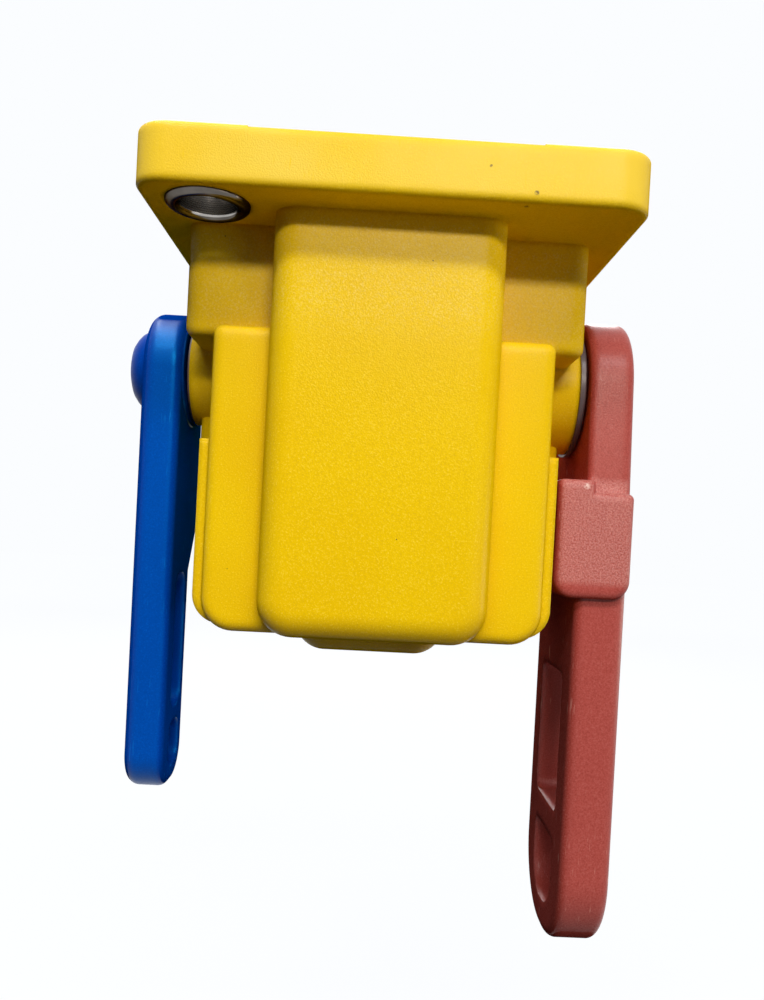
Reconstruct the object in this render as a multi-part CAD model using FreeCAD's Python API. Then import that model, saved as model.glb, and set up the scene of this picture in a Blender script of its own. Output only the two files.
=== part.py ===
import FreeCAD, Part
import math
import os

# Rope pull switch for a machine's emergency stop line, in millimetres.
# The origin is the centre of the mounting face. +Z leaves the switch through that face, +X runs
# along the shafts towards the red pull lever, and -Y is the side of the moulded front panel.

# Mounting flange and its two compression sleeves
FLANGE_WIDTH = 80.0
FLANGE_DEPTH = 80.0
FLANGE_THICKNESS = 9.0
FLANGE_CORNER_R = 5.5
FLANGE_EDGE_R = 0.7
RECESS_HALF_WIDTH = 22.5
RECESS_DEPTH = 0.4
SLEEVE_FROM_SIDE = 10.5
SLEEVE_FROM_FRONT = 8.5
SLEEVE_OUTER_R = 6.8
SLEEVE_BORE_R = 4.5
SLEEVE_MOUTH_R = 6.1
SLEEVE_MOUTH_DEPTH = 1.7
SLEEVE_PROUD = 0.4

# Housing body: heights hang from the flange's underside and from the shaft axis
WALL = 3.5
SHAFT_DROP = 22.0
BODY_HALF = 29.0
SHOULDER_PROUD = 5.5
SHOULDER_FRONT = 23.0
SHOULDER_ABOVE_SHAFT = 3.0
SHOULDER_EDGE_R = 3.0
SHOULDER_BOTTOM_R = 1.6
NOSE_END = 65.0
NOSE_CHAMFER = 17.0
NOSE_EDGE_R = 5.5
NOSE_ROOF_R = 1.7
NECK_START = 20.0
NECK_HALF = 21.0
NECK_R = 4.0
PULL_BOSS_R = 11.6
PULL_BOSS_PROUD = 7.5
RESET_BOSS_R = 9.8
RESET_BOSS_PROUD = 7.0
BOSS_ROOT_FLARE = 1.8
SPLIT_BELOW_BOSS = 2.4

# Front panels, both moulded with the housing
PANEL_HEIGHT = 33.0
SECOND_PROUD = 2.5
SECOND_RIM = 1.9
SECOND_TOP_R = 1.6
SECOND_EDGE_R = 1.8
SECOND_CORNER_R = 5.5
CENTRE_HALF = 19.0
CENTRE_PROUD = 9.6
CENTRE_EDGE_R = 4.2
CENTRE_CORNER_R = 6.0
PLUG_DEPTH = 3.1
FIT_GAP = 0.3

# Hood that closes the housing from behind and below
HOOD_LIP = 1.7
HOOD_ABOVE_PANEL = 1.0
HOOD_BOTTOM_R = 5.0
HUMP_HALF = 17.0
HUMP_LENGTH = 30.0
HUMP_REAR_GAP = 17.0
HUMP_DEPTH = 10.0
HUMP_EDGE_R = 7.0
SEAM_GAP = 0.6
GASKET_INSET = 0.3
GASKET_WIDTH = 1.3

# Hood screws and the columns they run in
COLUMN_X = 20.5
COLUMN_FRONT_Y = -16.0
COLUMN_REAR_Y = 60.0
COLUMN_R = 4.8
HOOD_COLUMN_WALL = 1.8
HOOD_SCREW_R = 2.5
HOOD_SCREW_HEAD_R = 4.2
HOOD_SCREW_HEAD_HEIGHT = 3.2
HOOD_SCREW_GRIP = 14.0
HOOD_SCREW_BITE = 9.0
COUNTERBORE_CLEARANCE = 0.3

# Proportions of every screw head and its hexagon socket
HEAD_ROUND_SHARE = 0.3
SOCKET_SHARE = 0.5
SOCKET_DEPTH_SHARE = 0.6

# Cable entries: threaded inserts in the two chamfered nose walls
ENTRY_THREAD_R = 10.0
ENTRY_INSERT_R = 10.9
ENTRY_BOSS_R = 12.5
ENTRY_DEPTH = 6.6
ENTRY_DROP = 18.0
ENTRY_SEAT_R = 12.0
ENTRY_SEAT_PROUD = 0.8

# Shafts, bushes, seals and circlips
PULL_SHAFT_R = 6.0
RESET_SHAFT_R = 5.0
BUSH_WALL = 2.4
BUSH_FLANGE_WALL = 4.2
BUSH_FLANGE_THICKNESS = 1.5
PULL_SEAL_R = 12.1
PULL_SEAL_THICKNESS = 1.1
RESET_SEAL_R = 9.2
RESET_SEAL_THICKNESS = 0.5
SEAL_ROUND_SHARE = 0.3
LEVER_GAP = 0.4
RUN_GAP = 0.06
SLIP_GAP = 0.03
OVERCUT = 1.0
CIRCLIP_THICKNESS = 1.2
CIRCLIP_WIDTH = 2.4
CIRCLIP_GROOVE = 0.8
CIRCLIP_GAP = 0.2
SHAFT_END_GAP = 0.5
PULL_SQUARE = 8.4
LEVER_SQUARE_PULL = 8.0
LEVER_SQUARE_RESET = 6.6
INNER_SHAFT_END = -10.0
CAM_STACK_MARGIN = 1.0

# Pull lever
PULL_HUB_R = 14.0
PULL_HALF = 16.0
PULL_LENGTH = 106.0
PULL_TIP_R = 15.0
PULL_THICKNESS = 8.0
PULL_OUTER_R = 1.4
PULL_EDGE_R = 1.0
ARM_THICKNESS = 9.2
ARM_EDGE_R = 1.8
BLOCK_TOP = 17.6
BLOCK_STEP = 2.2
BLOCK_HEIGHT = 21.3
BLOCK_PROUD = 1.8
BLOCK_HOOD_GAP = 1.6
BLOCK_EDGE_R = 1.1
BLOCK_FOOT_R = 3.4
WINDOW_HALF = 9.0
TIP_WALL = 6.0
WINDOW_HEIGHT = 26.6
WINDOW_RIB = 5.4
LOWER_WINDOW_HALF = 8.0
LOWER_WINDOW_HEIGHT = 14.3
WINDOW_CORNER_R = 2.0
LOWER_WINDOW_FOOT_R = 7.0
PULL_COUNTERBORE_R = 8.5
PULL_WEB = 3.8
PULL_WASHER_R = 7.6
PULL_WASHER_THICKNESS = 1.2
PULL_WASHER_GAP = 0.2
PULL_SCREW_R = 3.0
PULL_SCREW_HEAD_R = 5.2
PULL_SCREW_HEAD_HEIGHT = 2.1
PULL_SCREW_LENGTH = 16.0

# Reset lever
RESET_HUB_R = 11.2
RESET_LENGTH = 79.6
RESET_ARM_WIDTH = 16.4
RESET_WIDE_LENGTH = 30.0
RESET_SLOPE_LENGTH = 9.0
RESET_TIP_R = 7.0
RESET_THICKNESS = 7.4
RESET_BOSS_HEIGHT = 0.3
RESET_INNER_BOSS_R = 10.2
RESET_EDGE_R = 1.6
RESET_OUTER_R = 2.4
SLOT_NEAR_RIM = 5.0
SLOT_WIDTH = 8.0
SLOT_TIP_MARGIN = 3.4
SLOT_SHORT_LENGTH = 8.9
SLOT_RIB = 2.6
SLOT_LONG_LENGTH = 26.0
SLOT_END_R = 3.0
RESET_COUNTERBORE_R = 6.5
RESET_WEB = 4.6
CAP_R = 8.0
CAP_HEIGHT = 4.6
CAP_EDGE_R = 2.8
CAP_SPIGOT_WALL = 1.4
CAP_SPIGOT_LENGTH = 2.0
RESET_SCREW_R = 2.5
RESET_SCREW_HEAD_R = 4.4
RESET_SCREW_HEAD_HEIGHT = 1.2
RESET_SCREW_LENGTH = 13.0

# Steel mechanism frame that hangs from the housing's roof
SHEET = 2.0
FRAME_BEND_R = 1.8
CHEEK_OUTER_X = 17.0
FRAME_FRONT_Y = -10.0
FRAME_REAR_Y = 16.5
WEB_REAR_Y = 13.0
CHEEK_BELOW_PIN = 6.0
FRAME_SCREW_X = 8.5
FRAME_SCREW_Y = -6.0
FRAME_SCREW_REAR_Y = 9.0
FRAME_SCREW_R = 2.0
FRAME_SCREW_HEAD_R = 3.6
FRAME_SCREW_HEAD_HEIGHT = 2.2
FRAME_SCREW_BITE = 7.0

# Switching cams, latch disc, and the pawl that the reset cam presses down
CAM_HUB_R = 7.4
CAM_BASE_R = 10.0
CAM_RISE_PER_RADIAN = 3.82
CAM_SPAN_DEGREES = 50.0
CAM_THICKNESS = 4.0
CAM_PITCH = 13.0
CAM_STACK_LENGTH = 20.5
LATCH_DISC_R = 12.0
LATCH_DISC_THICKNESS = 3.0
LATCH_HUB_SIDE = 1.5
LATCH_NOTCH_DEGREES = 25.0
LATCH_NOTCH_WIDTH = 3.6
LATCH_NOTCH_DEPTH = 2.2
RESET_CAM_BASE_R = 9.0
RESET_CAM_HUB_R = 8.2
RESET_CAM_RISE_PER_RADIAN = 4.0
RESET_CAM_THICKNESS = 3.6
RESET_PIN_R = 1.1
RESET_PIN_INSET = 0.2
PAWL_PIN_Y = 12.0
PAWL_PIN_DROP = 15.0
PAWL_PIN_R = 2.5
PAWL_TUBE_R = 4.4
PAWL_ARM_HEIGHT = 4.0
PAWL_BUMP_R = 2.0
PAWL_NOSE_WIDTH = 2.8
PAWL_CLEARANCE = 0.5
PAWL_TUBE_SIDE = 1.0
PAWL_PIN_HEAD_R = 4.0
PAWL_PIN_HEAD_HEIGHT = 1.5

# Contact blocks, their carrier, plungers and terminals
BLOCK_HALF_WIDTH = 6.3
CONTACT_FRONT_Y = 21.0
CONTACT_LENGTH = 19.0
CONTACT_BELOW_SHAFT = 13.0
CONTACT_EDGE_R = 0.8
PLUNGER_R = 2.0
PLUNGER_LENGTH = 19.0
PLUNGER_BORE_DEPTH = 14.0
PLUNGER_GAP = 0.5
CARRIER_MARGIN = 0.3
CARRIER_SCREW_SETBACK = 4.0
TERMINAL_HEAD_R = 2.9
TERMINAL_HEAD_HEIGHT = 1.8
TERMINAL_SHANK_R = 1.6
TERMINAL_SHANK_LENGTH = 6.0
TERMINAL_SPREAD = 6.4
TERMINAL_ROWS = (6.0, 14.0)

# Coil springs
SPRING_WIRE_R = 0.6
SPRING_TURNS = 2.6
SPRING_SHAFT_GAP = 1.4
SPRING_LEG = 6.0
SPRING_END_GAP = 0.25
PAWL_SPRING_WIRE_R = 0.4
PAWL_SPRING_TURNS = 3.6
PAWL_SPRING_GAP = 0.5

# Levels and places worked out from the sizes above
BODY_TOP = -FLANGE_THICKNESS
SLEEVE_X = 0.5 * FLANGE_WIDTH - SLEEVE_FROM_SIDE
SLEEVE_Y = 0.5 * FLANGE_DEPTH - SLEEVE_FROM_FRONT
ROOF_Z = BODY_TOP - WALL
SHAFT_Z = BODY_TOP - SHAFT_DROP
SPLIT_Z = SHAFT_Z - PULL_BOSS_R - SPLIT_BELOW_BOSS
HOOD_TOP = SPLIT_Z - SEAM_GAP
PANEL_BOTTOM = SPLIT_Z - PANEL_HEIGHT
HOOD_BOTTOM = PANEL_BOTTOM + HOOD_ABOVE_PANEL
SHOULDER_BOTTOM = SHAFT_Z + SHOULDER_ABOVE_SHAFT
SHOULDER_HALF = BODY_HALF + SHOULDER_PROUD
SECOND_FRONT = -SHOULDER_FRONT - SECOND_PROUD
SECOND_BACK = SECOND_FRONT + SECOND_RIM
CENTRE_FRONT = -SHOULDER_FRONT - CENTRE_PROUD
PLUG_BACK = SECOND_BACK + PLUG_DEPTH
HOOD_FRONT = SECOND_BACK + SEAM_GAP
HOOD_HALF = BODY_HALF + HOOD_LIP
INNER_HALF = BODY_HALF - WALL
HOOD_INNER_HALF = HOOD_HALF - WALL
NOSE_START = NOSE_END - NOSE_CHAMFER
NOSE_HALF = NECK_HALF - NOSE_CHAMFER
NECK_BEND_Y = NECK_START + BODY_HALF - NECK_HALF
PULL_BOSS_X = BODY_HALF + PULL_BOSS_PROUD
RESET_BOSS_X = -BODY_HALF - RESET_BOSS_PROUD
BUSH_END = INNER_HALF - BUSH_FLANGE_THICKNESS
CIRCLIP_OUTER = BUSH_END - CIRCLIP_GAP
CIRCLIP_INNER = CIRCLIP_OUTER - CIRCLIP_THICKNESS
PULL_INNER_X = PULL_BOSS_X + PULL_SEAL_THICKNESS + LEVER_GAP
PULL_OUTER_X = PULL_INNER_X + PULL_THICKNESS
WINDOW_TOP = PULL_LENGTH - TIP_WALL - LOWER_WINDOW_HEIGHT - WINDOW_RIB - WINDOW_HEIGHT
RESET_INNER_X = RESET_BOSS_X - RESET_SEAL_THICKNESS - LEVER_GAP
RESET_ARM_X = RESET_INNER_X - RESET_BOSS_HEIGHT
RESET_OUTER_X = RESET_ARM_X - RESET_THICKNESS
CHEEK_INNER_X = CHEEK_OUTER_X - SHEET
CAM_STACK_START = INNER_SHAFT_END + CAM_STACK_MARGIN
PLUNGER_A_X = CAM_STACK_START + CAM_THICKNESS
PLUNGER_B_X = PLUNGER_A_X + CAM_PITCH
LATCH_X = 0.5 * (PLUNGER_A_X + PLUNGER_B_X)
RESET_CAM_X = INNER_SHAFT_END - SHAFT_END_GAP - 0.5 * RESET_CAM_THICKNESS
PAWL_PIN_Z = SHAFT_Z - PAWL_PIN_DROP
CARRIER_BOTTOM = ROOF_Z - SHEET
CONTACT_BOTTOM = SHAFT_Z - CONTACT_BELOW_SHAFT

# Places closer together than this count as the same
SAME_PLACE = 1e-4

Vec = FreeCAD.Vector
UP = Vec(0, 0, 1)
ALONG_X = Vec(1, 0, 0)
ALONG_Y = Vec(0, 1, 0)


# Drawing helpers

def on_xy(z):
    return lambda u, v: Vec(u, v, z)


def on_xz(y):
    return lambda u, v: Vec(u, y, v)


def on_yz(x):
    return lambda u, v: Vec(x, u, v)


def outline(place, start, *moves):
    """Closed face: each move is (end,) for a line or (middle, end) for an arc."""
    edges = []
    here = start
    for move in moves:
        end = move[-1]
        if len(move) == 1:
            edges.append(Part.LineSegment(place(*here), place(*end)).toShape())
        else:
            edges.append(Part.Arc(place(*here), place(*move[0]), place(*end)).toShape())
        here = end
    return Part.Face(Part.Wire(edges))


def corner_arc(centre, radius, start_degrees):
    """Middle and end of a quarter turn that starts at an angle about a centre."""
    points = []
    for turn in (45.0, 90.0):
        angle = math.radians(start_degrees + turn)
        points.append((centre[0] + radius * math.cos(angle), centre[1] + radius * math.sin(angle)))
    return tuple(points)


def rounded(place, u0, u1, v0, v1, low_r, high_r):
    """Rectangle with its two low corners and its two high corners rounded."""
    moves = [((u1 - low_r, v0),)]
    moves.append(corner_arc((u1 - low_r, v0 + low_r), low_r, -90.0))
    moves.append(((u1, v1 - high_r),))
    if high_r > 0:
        moves.append(corner_arc((u1 - high_r, v1 - high_r), high_r, 0.0))
    moves.append(((u0 + high_r, v1),))
    if high_r > 0:
        moves.append(corner_arc((u0 + high_r, v1 - high_r), high_r, 90.0))
    moves.append(((u0, v0 + low_r),))
    moves.append(corner_arc((u0 + low_r, v0 + low_r), low_r, 180.0))
    return outline(place, (u0 + low_r, v0), *moves)


def box(x0, x1, y0, y1, z0, z1):
    return Part.makeBox(x1 - x0, y1 - y0, z1 - z0, Vec(x0, y0, z0))


def rod_x(radius, x0, x1, y=0.0, z=SHAFT_Z):
    return Part.makeCylinder(radius, x1 - x0, Vec(x0, y, z), ALONG_X)


def rod_y(radius, y0, y1, x, z):
    return Part.makeCylinder(radius, y1 - y0, Vec(x, y0, z), ALONG_Y)


def rod_z(radius, z0, z1, x, y):
    return Part.makeCylinder(radius, z1 - z0, Vec(x, y, z0), UP)


def tube_x(outer, inner, x0, x1):
    return rod_x(outer, x0, x1).cut(rod_x(inner, x0, x1))


def square_x(side, x0, x1):
    half = 0.5 * side
    return box(x0, x1, -half, half, SHAFT_Z - half, SHAFT_Z + half)


def straight_along(edge, direction):
    """True where an edge is a straight line along a direction."""
    if not isinstance(edge.Curve, (Part.Line, Part.LineSegment)):
        return False
    return abs(abs(edge.tangentAt(edge.FirstParameter).dot(direction)) - 1.0) < 1e-6


def fillet(shape, radius, chosen):
    edges = [edge for edge in shape.Edges if chosen(edge)]
    return shape.makeFillet(radius, edges)


def in_plane(shape_edge, axis, value):
    """True where the whole edge lies in the plane axis = value."""
    low = getattr(shape_edge.BoundBox, axis + "Min")
    high = getattr(shape_edge.BoundBox, axis + "Max")
    return abs(low - value) < SAME_PLACE and abs(high - value) < SAME_PLACE


def fuse(first, *others):
    return first.fuse(list(others)).removeSplitter()


def mirrored_x(x):
    return (-x, x)


# Shared forms

def nose_prism(grow, front, z0, z1):
    """Body plan, grown or shrunk evenly, between two heights: wide at the shafts, then a neck that
    leaves room for a fixing bolt, then two 45 degree nose walls."""
    half = BODY_HALF + grow
    neck = NECK_HALF + grow
    shift = grow * math.tan(math.radians(22.5))
    right = [(half, front), (half, NECK_START + shift), (neck, NECK_BEND_Y + shift),
             (neck, NOSE_START + shift), (NOSE_HALF + shift, NOSE_END + grow)]
    left = [(-x, y) for x, y in reversed(right)]
    plan = outline(on_xy(z0), left[-1], *[(point,) for point in right + left])
    solid = plan.extrude(Vec(0, 0, z1 - z0))

    def inward_corner(edge):
        return straight_along(edge, UP) and abs(edge.BoundBox.YMin - NECK_BEND_Y - shift) < SAME_PLACE

    def outward_corner(edge):
        return straight_along(edge, UP) and edge.BoundBox.YMin > front + OVERCUT and not inward_corner(edge)
    solid = fillet(solid, NOSE_EDGE_R + grow, outward_corner)
    return fillet(solid, NECK_R - grow, inward_corner)


def column_places():
    """Plan positions of the three hood screws: two in front, one in the nose."""
    return [(x, COLUMN_FRONT_Y) for x in mirrored_x(COLUMN_X)] + [(0.0, COLUMN_REAR_Y)]


def sleeve_places():
    """Plan positions of the two fixing sleeves, on a diagonal of the flange."""
    return [(-SLEEVE_X, -SLEEVE_Y), (SLEEVE_X, SLEEVE_Y)]


def entry_rod(side, radius, inward, outward):
    """Cylinder on a cable entry's axis, square to the nose wall on one side."""
    middle = Vec(side * (NECK_HALF - 0.5 * NOSE_CHAMFER), NOSE_END - 0.5 * NOSE_CHAMFER,
                 BODY_TOP - ENTRY_DROP)
    axis = Vec(side * math.sqrt(0.5), math.sqrt(0.5), 0)
    return Part.makeCylinder(radius, inward + outward, middle - axis * inward, axis)


def shaft_boss(side, radius, face_x):
    """Round bearing boss on a side wall, with a flared root."""
    root = side * INNER_HALF
    boss = rod_x(radius, min(root, face_x), max(root, face_x))
    flare = Part.makeCone(radius + BOSS_ROOT_FLARE, radius, BOSS_ROOT_FLARE,
                          Vec(side * BODY_HALF, 0, SHAFT_Z), Vec(side, 0, 0))
    above_split = box(-SHOULDER_HALF, SHOULDER_HALF, -SHOULDER_FRONT, SHOULDER_FRONT, SPLIT_Z, BODY_TOP)
    return boss.fuse(flare.common(above_split))


def spiral_cam(base_r, rise_per_radian, towards_degrees, hub_r, x0, x1):
    """Cam plate whose radius grows evenly with angle about the direction of its follower."""
    steps = 8
    span = math.radians(CAM_SPAN_DEGREES)
    points = []
    for step in range(steps + 1):
        offset = span * (2.0 * step / steps - 1.0)
        radius = base_r + rise_per_radian * offset
        angle = math.radians(towards_degrees) + offset
        points.append(Vec(x0, radius * math.cos(angle), SHAFT_Z + radius * math.sin(angle)))
    curve = Part.BSplineCurve()
    curve.interpolate(points)
    centre = Vec(x0, 0, SHAFT_Z)
    sides = [Part.LineSegment(points[-1], centre).toShape(), Part.LineSegment(centre, points[0]).toShape()]
    sector = Part.Face(Part.Wire([curve.toShape()] + sides)).extrude(Vec(x1 - x0, 0, 0))
    return sector.fuse(rod_x(hub_r, x0, x1))


def coil(wire_r, mean_r, turns, length, leg):
    """Helical spring along +Z from the origin, with a straight tangent leg at each end."""
    pitch = (length - 2.0 * wire_r) / turns
    helix = Part.makeHelix(pitch, pitch * turns, mean_r).Edges[0]
    start = helix.valueAt(helix.FirstParameter)
    end = helix.valueAt(helix.LastParameter)
    leaving = helix.tangentAt(helix.FirstParameter)
    arriving = helix.tangentAt(helix.LastParameter)
    path = Part.Wire([Part.LineSegment(start - leaving * leg, start).toShape(), helix,
                      Part.LineSegment(end, end + arriving * leg).toShape()])
    section = Part.Wire(Part.Circle(start - leaving * leg, leaving, wire_r).toShape())
    spring = path.makePipeShell([section], True, True)
    spring.translate(Vec(0, 0, wire_r))
    return spring


def pan_screw(head_r, head_height, shank_r, shank_length):
    """Screw along +Z with its head below the origin plane, domed edge and hexagon socket."""
    head = Part.makeCylinder(head_r, head_height, Vec(0, 0, -head_height), UP)
    head = fillet(head, HEAD_ROUND_SHARE * head_height, lambda edge: in_plane(edge, "Z", -head_height))
    corners = []
    for corner in range(7):
        angle = math.radians(60 * corner)
        corners.append(Vec(SOCKET_SHARE * head_r * math.cos(angle), SOCKET_SHARE * head_r * math.sin(angle),
                           -head_height))
    socket = Part.Face(Part.makePolygon(corners))
    head = head.cut(socket.extrude(Vec(0, 0, SOCKET_DEPTH_SHARE * head_height)))
    return head.fuse(Part.makeCylinder(shank_r, shank_length, Vec(0, 0, 0), UP)).removeSplitter()


def placed(shape, x, y, z):
    copy = shape.copy()
    copy.translate(Vec(x, y, z))
    return copy


# Mounting flange and the moulded housing under it: shoulders, bosses, front panels and nose

def roof_drills():
    """Holes for the screws that hold the frame and the contact carrier, through the roof into the flange."""
    top = CARRIER_BOTTOM + FRAME_SCREW_BITE + OVERCUT
    return [rod_z(FRAME_SCREW_R + SLIP_GAP, ROOF_Z - OVERCUT, top, x, y)
            for x, y in frame_screw_places() + carrier_screw_places()]


def make_flange():
    plate = rounded(on_xy(BODY_TOP), -0.5 * FLANGE_WIDTH, 0.5 * FLANGE_WIDTH, -0.5 * FLANGE_DEPTH,
                    0.5 * FLANGE_DEPTH, FLANGE_CORNER_R, FLANGE_CORNER_R)
    plate = plate.extrude(Vec(0, 0, FLANGE_THICKNESS))
    plate = fillet(plate, FLANGE_EDGE_R,
                   lambda edge: in_plane(edge, "Z", BODY_TOP) or in_plane(edge, "Z", 0.0))
    recess = box(-RECESS_HALF_WIDTH, RECESS_HALF_WIDTH, -FLANGE_DEPTH, FLANGE_DEPTH, -RECESS_DEPTH, OVERCUT)
    sleeves = [rod_z(SLEEVE_OUTER_R, BODY_TOP - OVERCUT, OVERCUT, x, y) for x, y in sleeve_places()]
    return plate.cut([recess] + sleeves + roof_drills())


def shoulders():
    block = box(-SHOULDER_HALF, SHOULDER_HALF, -SHOULDER_FRONT, SHOULDER_FRONT, SHOULDER_BOTTOM, BODY_TOP)
    block = fillet(block, SHOULDER_EDGE_R, lambda edge: straight_along(edge, UP))
    return fillet(block, SHOULDER_BOTTOM_R, lambda edge: in_plane(edge, "Z", SHOULDER_BOTTOM))


def second_panel():
    top = SHOULDER_BOTTOM + SECOND_TOP_R
    panel = rounded(on_xz(SECOND_FRONT), -BODY_HALF, BODY_HALF, PANEL_BOTTOM, top,
                    SECOND_CORNER_R, SECOND_TOP_R)
    panel = panel.extrude(Vec(0, SECOND_RIM, 0))
    panel = fillet(panel, SECOND_EDGE_R, lambda edge: in_plane(edge, "Y", SECOND_FRONT))
    upper = box(-BODY_HALF, BODY_HALF, SECOND_BACK, -SHOULDER_FRONT, SPLIT_Z, SHOULDER_BOTTOM)
    return panel.fuse(upper)


def centre_panel():
    panel = rounded(on_xz(CENTRE_FRONT), -CENTRE_HALF, CENTRE_HALF, PANEL_BOTTOM, BODY_TOP,
                    CENTRE_CORNER_R, 0.0)
    panel = panel.extrude(Vec(0, SECOND_BACK - CENTRE_FRONT, 0))

    def front_side(edge):
        return in_plane(edge, "Y", CENTRE_FRONT) and edge.BoundBox.ZMin < BODY_TOP - OVERCUT
    return fillet(panel, CENTRE_EDGE_R, front_side)


def plug():
    """Back of the front wall, which drops inside the hood's rim."""
    half = HOOD_INNER_HALF - FIT_GAP
    low = HOOD_BOTTOM + WALL + FIT_GAP
    corner = HOOD_BOTTOM_R - WALL
    wall = rounded(on_xz(SECOND_BACK), -half, half, low, SPLIT_Z, corner, 0.0)
    return wall.extrude(Vec(0, PLUG_DEPTH, 0))


def make_housing():
    body = nose_prism(0.0, -SHOULDER_FRONT, SPLIT_Z, BODY_TOP)
    tail_start = 0.5 * FLANGE_DEPTH - FLANGE_EDGE_R
    under_flange = box(-BODY_HALF, BODY_HALF, -SHOULDER_FRONT, tail_start, SPLIT_Z, BODY_TOP)
    tail = fillet(body.cut(under_flange), NOSE_ROOF_R, lambda edge: in_plane(edge, "Z", BODY_TOP)
                  and edge.BoundBox.YMax > tail_start + OVERCUT)
    solid = fuse(body.common(under_flange), tail, shoulders(), second_panel(), centre_panel(), plug(),
                 shaft_boss(1, PULL_BOSS_R, PULL_BOSS_X), shaft_boss(-1, RESET_BOSS_R, RESET_BOSS_X))
    cavity = nose_prism(-WALL, PLUG_BACK, PANEL_BOTTOM, ROOF_Z)
    core = box(-CENTRE_HALF + WALL, CENTRE_HALF - WALL, CENTRE_FRONT + WALL, PLUG_BACK,
               HOOD_BOTTOM + 2.0 * WALL, ROOF_Z)
    solid = solid.cut([cavity, core])
    inside = nose_prism(-0.5 * WALL, PLUG_BACK - 0.5 * WALL, SPLIT_Z, ROOF_Z + 0.5 * WALL)
    columns = [rod_z(COLUMN_R, SPLIT_Z, BODY_TOP, x, y) for x, y in column_places()]
    bosses = [entry_rod(side, ENTRY_BOSS_R, ENTRY_DEPTH, 0.0) for side in (-1, 1)]
    solid = fuse(solid, *[piece.common(inside) for piece in columns + bosses])
    drills = [entry_rod(side, ENTRY_INSERT_R, ENTRY_DEPTH + OVERCUT, 2.0 * WALL) for side in (-1, 1)]
    drills += [entry_rod(side, ENTRY_SEAT_R, 0.5 * WALL, 2.0 * WALL) for side in (-1, 1)]
    for x, y in column_places():
        drills.append(rod_z(HOOD_SCREW_R + SLIP_GAP, SPLIT_Z - OVERCUT,
                            SPLIT_Z + HOOD_SCREW_BITE + OVERCUT, x, y))
    drills += roof_drills()
    foot_r = SLEEVE_OUTER_R + FIT_GAP
    drills += [rod_z(foot_r, BODY_TOP - SLEEVE_PROUD - FIT_GAP, BODY_TOP, x, y) for x, y in sleeve_places()]
    bush_r = PULL_SHAFT_R + BUSH_WALL
    drills.append(rod_x(bush_r, INNER_HALF - OVERCUT, PULL_BOSS_X + OVERCUT))
    bush_r = RESET_SHAFT_R + BUSH_WALL
    drills.append(rod_x(bush_r, RESET_BOSS_X - OVERCUT, -INNER_HALF + OVERCUT))
    return solid.cut(drills).removeSplitter()


def make_entry_inserts():
    """Two threaded inserts, each with a sunk collar that the gland's seal sits on."""
    inserts = []
    for side in (-1, 1):
        barrel = entry_rod(side, ENTRY_INSERT_R, ENTRY_DEPTH, 0.0)
        collar = entry_rod(side, ENTRY_SEAT_R, 0.5 * WALL, ENTRY_SEAT_PROUD)
        bore = entry_rod(side, ENTRY_THREAD_R, ENTRY_DEPTH + OVERCUT, 2.0 * WALL)
        inserts.append(fuse(barrel, collar).cut(bore))
    return Part.makeCompound(inserts)


def make_sleeves():
    """Two turned steel sleeves, dished at the mouth that the bolt head would sit in."""
    mouth = BODY_TOP - SLEEVE_PROUD
    profile = outline(on_xz(0.0), (SLEEVE_BORE_R, 0.0), ((SLEEVE_OUTER_R, 0.0),),
                      ((SLEEVE_OUTER_R, mouth),), ((SLEEVE_MOUTH_R, mouth),),
                      ((SLEEVE_BORE_R, mouth + SLEEVE_MOUTH_DEPTH),), ((SLEEVE_BORE_R, 0.0),))
    sleeve = profile.revolve(Vec(0, 0, 0), UP, 360)
    return Part.makeCompound([placed(sleeve, x, y, 0.0) for x, y in sleeve_places()])


# Hood, gasket and hood screws

def hood_form(shrink):
    """Outer form of the hood, or the same form drawn in by a wall thickness."""
    low = HOOD_BOTTOM + shrink
    front = HOOD_FRONT - shrink
    shell = nose_prism(HOOD_LIP - shrink, front, low, HOOD_TOP + shrink)
    shell = fillet(shell, HOOD_BOTTOM_R - shrink,
                   lambda edge: in_plane(edge, "Z", low) and not in_plane(edge, "Y", front))
    hump_low = low - HUMP_DEPTH
    hump_end = NOSE_END - HUMP_REAR_GAP
    hump = box(-HUMP_HALF + shrink, HUMP_HALF - shrink, hump_end - HUMP_LENGTH + shrink, hump_end - shrink,
               hump_low, HOOD_BOTTOM + 2.0 * HOOD_BOTTOM_R)
    hump = fillet(hump, HUMP_EDGE_R - shrink,
                  lambda edge: straight_along(edge, UP) or in_plane(edge, "Z", hump_low))
    return shell.fuse(hump)


def make_hood():
    shell = hood_form(0.0).removeSplitter()
    inner = hood_form(WALL)
    hollow = shell.cut(inner)
    column_r = HOOD_SCREW_HEAD_R + COUNTERBORE_CLEARANCE + HOOD_COLUMN_WALL
    columns = [rod_z(column_r, HOOD_BOTTOM, HOOD_TOP, x, y) for x, y in column_places()]
    behind_plug = box(-HOOD_HALF, HOOD_HALF, PLUG_BACK + FIT_GAP, NOSE_END + HOOD_LIP, HOOD_BOTTOM, HOOD_TOP)
    within = hood_form(0.5 * WALL).common(behind_plug)
    hollow = fuse(hollow, *[column.common(within) for column in columns])
    seat = HOOD_TOP - HOOD_SCREW_GRIP
    drills = []
    for x, y in column_places():
        drills.append(rod_z(HOOD_SCREW_R + COUNTERBORE_CLEARANCE, seat - OVERCUT, HOOD_TOP + OVERCUT, x, y))
        drills.append(rod_z(HOOD_SCREW_HEAD_R + COUNTERBORE_CLEARANCE, HOOD_BOTTOM - OVERCUT, seat, x, y))
    return hollow.cut(drills).removeSplitter()


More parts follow.
